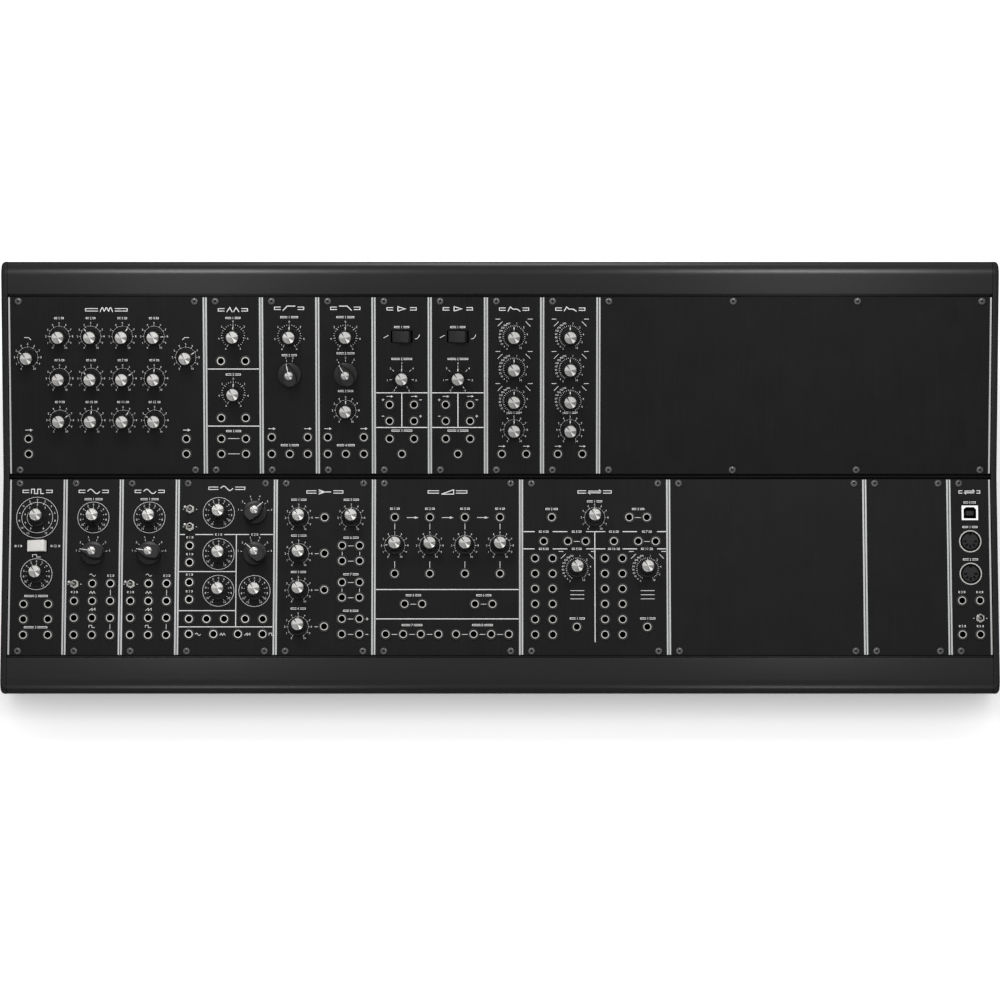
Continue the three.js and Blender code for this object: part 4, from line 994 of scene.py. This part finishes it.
def usb_socket(panel, x, v):
    """Rings of six corners: a square frame round a mouth whose two upper corners are cut off. The
    mouth's walls and floor are near black, painted shade for its depth.
    """
    mouth_width, mouth_height, cut = 4.55, 4.15, 1.7
    corners = []
    for w, h, inset, z in ((5.9, 5.3, 0, 0.01), (5.9, 5.3, 0, 0.8),
                           (mouth_width, mouth_height, cut, 0.8), (mouth_width, mouth_height, cut, -7)):
        corners += [(-w, -h, z), (w, -h, z), (w, h - cut, z), (w - inset, h, z), (inset - w, h, z),
                    (-w, h - cut, z)]
    lay = panel.at(x, v)
    panel.window(x, v, mouth_width, mouth_height)
    faces = capped(4, 6)
    panel.knobs.put(lay, (corners, faces[:12]), frame_white)
    panel.knobs.put(lay, (corners, faces[12:18] + faces[-1:]), bore_black_and_shade)
    panel.knobs.put(lay, block(5.6, 3.2, -7, -1), moulded)


# Filter bank: fourteen dials in three rows, the two at the ends for what lies below and above the
# twelve bands, with two sockets at each side.
panel = Panel("filter_bank", 0, 28, True)
bank_turns = [(-90, -40, 33, 92), (-115, -50, 62, 0), (60, 0, 33, -65)]
for row, (v, turns) in enumerate(zip((28.5, 59.0, 89.4), bank_turns)):
    for column, turn in enumerate(turns):
        x = (column - 1.5) * 22.86
        knob(panel, x, v, turn)
        panel.labels((x, v - 13.2, row * 4 + column + 1, 2))
for kind, x, turn in (("low", -57.15, -60), ("high", 57.15, 60)):
    knob(panel, x, 43.7, turn, node=f"filter_bank_{kind}_knob")
    panel.sign(kind, x, 30.3)
    panel.sign("right", x, 96.6)
jacks(panel, (-57.15, 57.15), (102.9, 113.9))
panel.finish("bank", rule=9)

# Filter pair: two dials, each over its two sockets, and two linked rows of sockets below them.
# Printed rules part the three groups.
panel = Panel("filters", 28, 8, True)
knob(panel, 0, 28.3, 0, "centre", "filters_cutoff_knob")
knob(panel, 0, 69.8, 0, "centre")
jacks(panel, (-8.87, 8.87), (46.3, 87.7, 102.8, 113.9))
for v in (102.8, 113.9):
    panel.across(v, (-4.2, 4.2))
panel.rules(52.2, 93.7)
panel.labels((0, 15.2, 1, 4), (0, 56.2, 2, 4), (0, 97.3, 3, 4))
panel.finish("band")

# High and low pass filters: a centred dial, a pointer with two or three positions, and five
# sockets. The low pass also has a dial for the feedback.
for kind, start, reach, count in (("high", 36, 12, 2), ("low", 44, 30, 3)):
    panel = Panel(kind + "_pass", start, 8, True)
    knob(panel, 0, 28.5, 0, "centre", kind + "_pass_cutoff_knob")
    pointer(panel, 0, 56.1, -reach, reach, count, kind + "_pass_range_pointer")
    panel.labels((0, 14.6, 1, 5))
    if kind == "high":
        panel.labels((0, 42.2, 2, 4), (0, 107.6, 3, 5))
    else:
        knob(panel, 0, 82.2)
        panel.labels((0, 40.8, 2, 5), (0, 68.2, 3, 4), (0, 107.6, 4, 5))
    jacks(panel, (-13.05, 13.05), (101.7, 113.9))
    jacks(panel, [0], [113.9])
    for x in (-13.05, 13.05):
        panel.sign("right", x, 95.6)
    panel.finish(kind, v=8.2)

# Two amplifiers: a black rocker between two curves, a dial from 0 to 6, and framed pairs of
# sockets marked + and -.
for number, start in ((1, 52), (2, 60)):
    panel = Panel(f"amplifier_{number}", start, 8, True)
    rocker(panel, f"amplifier_{number}_rocker", 28.7, moulded, "black_plastic")
    panel.line([(-13, 29.6), (-9.6, 27.8)], 0.4)
    panel.line(arc_points(9.6, 27.2, 3.2, 90, 180, 8), 0.4)
    knob(panel, 0, 58.6, 0, "six", f"amplifier_{number}_gain_knob")
    panel.rules(69.5, 94.7)
    panel.down(0, (69.5, 94.7), width=frame_line)
    jacks(panel, (-8.85, 8.85), (78.0, 89.9, 102.8))
    jacks(panel, [0], [113.9])
    for side in (-1, 1):
        panel.plus(side * 13.6, 74.6, 0.9, side < 0)
        panel.plus(side * 13.6, 86.5, 0.9, side > 0)
        panel.sign("right", side * 8.85, 72.1, 4.5, 1.5, 0.35)
    panel.labels((0, 21.8, 1, 4), (0, 44.9, 2, 6), (0, 97.0, 3, 6))
    panel.finish("amplifier", v=8.6)

# Two envelopes: four dials in a column, three with scales of times and one from 0 to 10, over two
# sockets.
for number, start in ((1, 68), (2, 76)):
    panel = Panel(f"envelope_{number}", start, 8, True)
    knob(panel, 0, 28.6, 0, "times", f"envelope_{number}_attack_knob")
    for v, scale in ((52.1, "times"), (75.4, "times"), (96.4, "ten")):
        knob(panel, 0, v, 0, scale)
    panel.labels((0, 84.0, 1, 3))
    jacks(panel, (-8.85, 8.85), [113.9])
    for x in (-8.85, 8.85):
        panel.sign("right", x, 108.4, 4.5, 1.5, 0.35)
    panel.finish("envelope", v=8.8)

# Upper blank: the widest panel, a bare plate to the right end of the upper row, held by eight
# screws.
Panel("upper_blank", 84, 56, True).finish()

# Oscillator driver: a fine and a coarse scale round one dial, a white rocker, the pulse width
# dial and six sockets.
panel = Panel("oscillator_driver", 0, 8, False)
knob(panel, 0, 28.1, 0, "double", "oscillator_driver_tune_knob")
rocker(panel, "oscillator_driver_rocker", 48.9, white_cap, "white_plastic")
knob(panel, 0, 69.5, 0, "circle")
panel.sign("pulse", 0, 56.1, 6, 1.7)
jacks(panel, (-8.9, 8.9), (91.5, 102.5, 113.9))
panel.labels((-13.4, 48.9, 1, 1.2), (13.4, 48.9, 12, 1.2), (0, 85.4, 2, 7), (0, 108.2, 3, 7))
panel.finish("clock", v=8.9)

# Two oscillators: a circled dial, a pointer over six octaves, a lever, and three columns of
# sockets; the middle column has the four waveforms above its sockets.
octaves, octave_reach = 6, 80
waves = ("sine", "triangle", "saw", "pulse")
socket_rows = (76.5, 89.2, 101.5, 113.9)
for number, start in ((1, 8), (2, 16)):
    panel = Panel(f"oscillator_{number}", start, 8, False)
    knob(panel, 0, 28.0, 0, "circle")
    node = f"oscillator_{number}_range_pointer"
    pointer(panel, 0, 54.3, -octave_reach, octave_reach, octaves, node)
    lever(panel, -13.05, 76.8, f"oscillator_{number}_lever")
    jacks(panel, (0, 13.05), socket_rows)
    jacks(panel, [-13.05], socket_rows[1:])
    for v, kind in zip(socket_rows, waves):
        panel.sign(kind, 0, v - 6.3, 4.2, 1.7, 0.35)
    panel.down(13.05, (80.7, 85.0), (105.7, 109.7))
    panel.labels((0, 14.6, 1, 5), (13.05, 70.6, 2, 1), (-13.05, 82.6, 3, 1))
    panel.finish("sine", v=8.9)

# Main oscillator: two levers, four dials and two pointers over a grid of sockets, all framed by
# printed lines.
panel = Panel("main_oscillator", 24, 14, False)
lever(panel, -26.51, 22.0, "main_oscillator_lever")
lever(panel, -26.51, 34.9)
knob(panel, -5.66, 24.7, 0, "circle", "main_oscillator_tune_knob")
for x, v in ((-5.56, 54.8), (-5.46, 81.6), (20.64, 81.8)):
    knob(panel, x, v, 0, "circle")
pointer(panel, 20.54, 24.4, 48, octave_reach, octaves, "main_oscillator_range_pointer")
pointer(panel, 20.64, 54.5, -47, octave_reach, octaves)
jacks(panel, [-26.46], (48.8, 61.1, 75.6, 88.1))
jacks(panel, (-26.46, -13.76, -1.06, 14.14, 26.84), [102.3])
jacks(panel, (-26.46, -8.71, 9.04, 26.79), [113.3])
panel.across(40.5, (-33.86, -30.06), (-22.56, -9.56), (-1.56, 16.44), (24.44, 33.86), width=frame_line)
for v in (67.6, 96.1):
    panel.across(v, (-33.86, 7.24), width=frame_line)
panel.rules(107.9)
panel.down(7.24, (40.5, 107.9), width=frame_line)
for v in (42.6, 54.9, 69.8, 82.0):
    panel.labels((-26.46, v, 1, 1))
panel.labels((-5.66, 40.5, 1, 1), (20.54, 40.5, 2, 1))
for kind, x in zip(waves, (-19.96, -2.11, 15.64, 33.39)):
    panel.sign(kind, x, 113.3, 4.0, 1.7, 0.35)
panel.finish("sine", v=6.6, rule=7)

# Mixer: four dials, each with its input beside it, one master dial at the upper right, and linked
# groups of output sockets below it.
panel = Panel("mixer", 38, 14, False)
knob(panel, 19.24, 28.2, node="mixer_master_knob")
for number, v in enumerate((28.2, 54.5, 81.1, 107.8), 1):
    knob(panel, -18.76, v)
    jacks(panel, [0], [v])
    panel.across(v, (-6.96, -4.36))
    panel.labels((-18.76, v - 13.2, number, 4))
for v in (48.8, 60.0, 75.6, 86.7, 102.2, 113.4):
    jacks(panel, (12.79, 25.49), [v])
    panel.across(v, (17.14, 21.14))
for x in (12.79, 25.49):
    panel.down(x, (53.1, 55.7), (79.9, 82.4))
panel.labels((19.24, 15.0, 5, 4), (19.14, 42.8, 6, 4), (19.14, 69.6, 7, 4), (19.14, 96.2, 8, 4))
panel.plus(30.94, 102.2, 1)
panel.plus(30.94, 113.4, 1, cross=False)
panel.finish("mix", rule=7)

# Attenuators: four dials, each between its input above and its output below, and linked rows of
# sockets for copies of a signal.
panel = Panel("attenuators", 52, 21, False)
for number, turn in enumerate((-90, -35, 0, 45), 1):
    x = (number - 2.5) * 25.4
    knob(panel, x, 48.5, turn, node="attenuator_knob" if number == 1 else None)
    jacks(panel, [x], (28.1, 69.3))
    panel.down(x, (32.4, 36.8), (60.2, 65.0))
    panel.labels((x, 21.6, number, 2))
for x in (-25.4, 0, 25.4):
    panel.sign("right", x, 28.1, 8, 1.6)
panel.rules(80.7, 102.1)
jacks(panel, (-30.84, -18.14, 19.96, 32.66), [91.4])
panel.across(91.4, (-26.54, -22.44), (24.26, 28.36))
copies = [(place - 3.5) * 12.7 for place in range(8)]
jacks(panel, copies, [113.4])
panel.across(113.4, *((x + 4.3, x + 8.4) for x in copies[:3] + copies[4:7]))
panel.labels((-24.49, 84.9, 5, 4), (26.31, 84.9, 6, 4), (-25.4, 106.6, 7, 6), (25.4, 106.6, 8, 6))
panel.finish("wedge", rule=8)

# Interface: a level dial and a shared row of sockets over two halves, each with its own dial and
# two columns of sockets.
panel = Panel("interface", 73, 21, False)
knob(panel, 0, 28.0, node="interface_level_knob")
jacks(panel, (-31.14, 25.06, 37.76), [28.1])
panel.across(28.1, (29.36, 33.46))
panel.labels((0, 16.2, 1, 4), (-31.14, 21.8, 2, 3), (31.46, 21.8, 3, 3))
gaps = ((-51.64, -43.54), (-30.34, -19.84), (-6.34, 7.66), (20.16, 30.66), (45.16, 51.64))
for v, first in ((38.4, 4), (51.0, 8)):
    panel.across(v, *gaps, width=frame_line)
    panel.labels(*((x, v, n, 2) for n, x in enumerate((-36.94, -13.04, 13.86, 37.76), first)))
panel.down(0.06, (38.4, 119.0), width=frame_line)
jacks(panel, (-36.94, -19.44, -6.64, 13.86, 31.46, 44.06), [45.6])
panel.across(45.6, (-15.14, -10.94), (35.76, 39.96))
jacks(panel, (-43.24, -30.54, 7.26, 19.96), (58.1, 69.3, 80.3, 91.4, 102.6, 113.7))
for x in (-12.74, 38.16):
    knob(panel, x, 65.5, 0, "times")
    jacks(panel, [x - 0.4], [108.1])
    panel.labels((x, 101.8, 1, 4))
    for v in (81.5, 84.5, 87.5):
        panel.across(v, (x - 5, x + 5))
panel.finish("arrows", rule=6)

# Two blank panels of the lower row: bare plates that close it between the interface and the
# keyboard link, held by four screws each.
for name, start, pitches in (("wide_blank", 94, 28), ("narrow_blank", 122, 12)):
    Panel(name, start, pitches, False).finish()

# Keyboard link: a square socket and two round ones above four jack sockets, and a three-way lever
# between them.
panel = Panel("midi", 134, 6, False)
usb_socket(panel, 0.06, 24.7)
for v in (45.6, 69.3):
    din_socket(panel, 0.06, v)
jacks(panel, (-6.54, 6.36), (88.9, 113.6))
lever(panel, 6.46, 101.7, "midi_lever")
panel.labels((0.06, 17.0, 0, 3), (0.06, 35.0, 1, 4), (0.06, 58.7, 2, 4))
panel.labels((-6.54, 82.6, 3, 1), (6.36, 82.6, 4, 1), (-6.54, 107.4, 5, 1), (6.36, 107.4, 6, 1))
panel.finish("arrows", width=7, rule=2.5)


# Underside and rear: a powder coated tray and stand, rubber strips, and the moulded power plate
# with its rocker. They keep their solids from the frame and take their finishes here.
powder = Finish("powder_coat", (0.022, 0.0225, 0.0235), 0.55)
peel = powder.noise(powder.place(), 700, 2)
powder.vary(peel, 0.12, 0.85, 1.2)
powder.bump(peel, 0.00004)
rubber = Finish("black_rubber", (0.014, 0.014, 0.014), 0.8).speckle(400, 0.12)
rubber.bump(rubber.noise(rubber.place(), 1800), 0.00003)
board_green = Finish("board_green", (0.012, 0.07, 0.036), 0.45).speckle(150, 0.15)
rear_details = Shape()


def on_rear_wall(points):
    """Lays points on the rear wall at the middle of its window: X to the viewer's right, Y up."""
    x, along, out = np.asarray(points, float).T
    return on_face(upper_tilt, np.stack([power_x - x, *wall_point(upper_end, along, out)], axis=1))


inlet_profile = [
    (3.6, -11.0), (3.6, -3.05), (5.6, -3.05), (5.6, -2.4), (5.1, -2.1), (3.5, -2.1), (3.25, -2.4),
    (3.25, -10.5)]
inlet_pin = [(1.0, -10.6), (1.0, -3.7), (0.6, -3.2)]
inlet_place, rocker_place = -20, 14
for profile, bands in ((inlet_profile, [nickel] * 6 + [bore_black_and_shade]), (inlet_pin, [nickel] * 2)):
    turn_in(rear_details, lambda points: on_rear_wall(points + (inlet_place, 0, 0)), profile, 32, bands)
for x, words in ((rocker_place + 13.7, "ON"), (rocker_place - 13.4, "OFF")):
    rear_details.put(lambda points: on_rear_wall(points + (x, 0, -wall)), glyph(words, 1.9), print_grey)
rear_details.make("rear_details", "case", "bright_steel")
# The centre rail takes a darker copy of the black anodised finish: painted shade where it lies sunk
# between the two rows of panels.
painted_rail_shade = Finish("shaded_rail", (0.004, 0.004, 0.004), 0.6, Specular_IOR_Level=0.1)
painted_rail_shade.speckle(1, 0.1, stretch=(3, 600, 600))
node_finishes = {
    "centre_rail": painted_rail_shade, "bottom_tray": powder, "stand": powder, "left_stand_bracket": powder,
    "right_stand_bracket": powder, "stand_sleeve": rubber, "front_foot_strip": rubber,
    "kink_foot_strip": rubber, "bus_board": board_green, "power_plate": moulded, "power_rocker": moulded,
}
for node, finish in node_finishes.items():
    for material_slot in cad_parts[node].material_slots:
        material_slot.material = finish.material
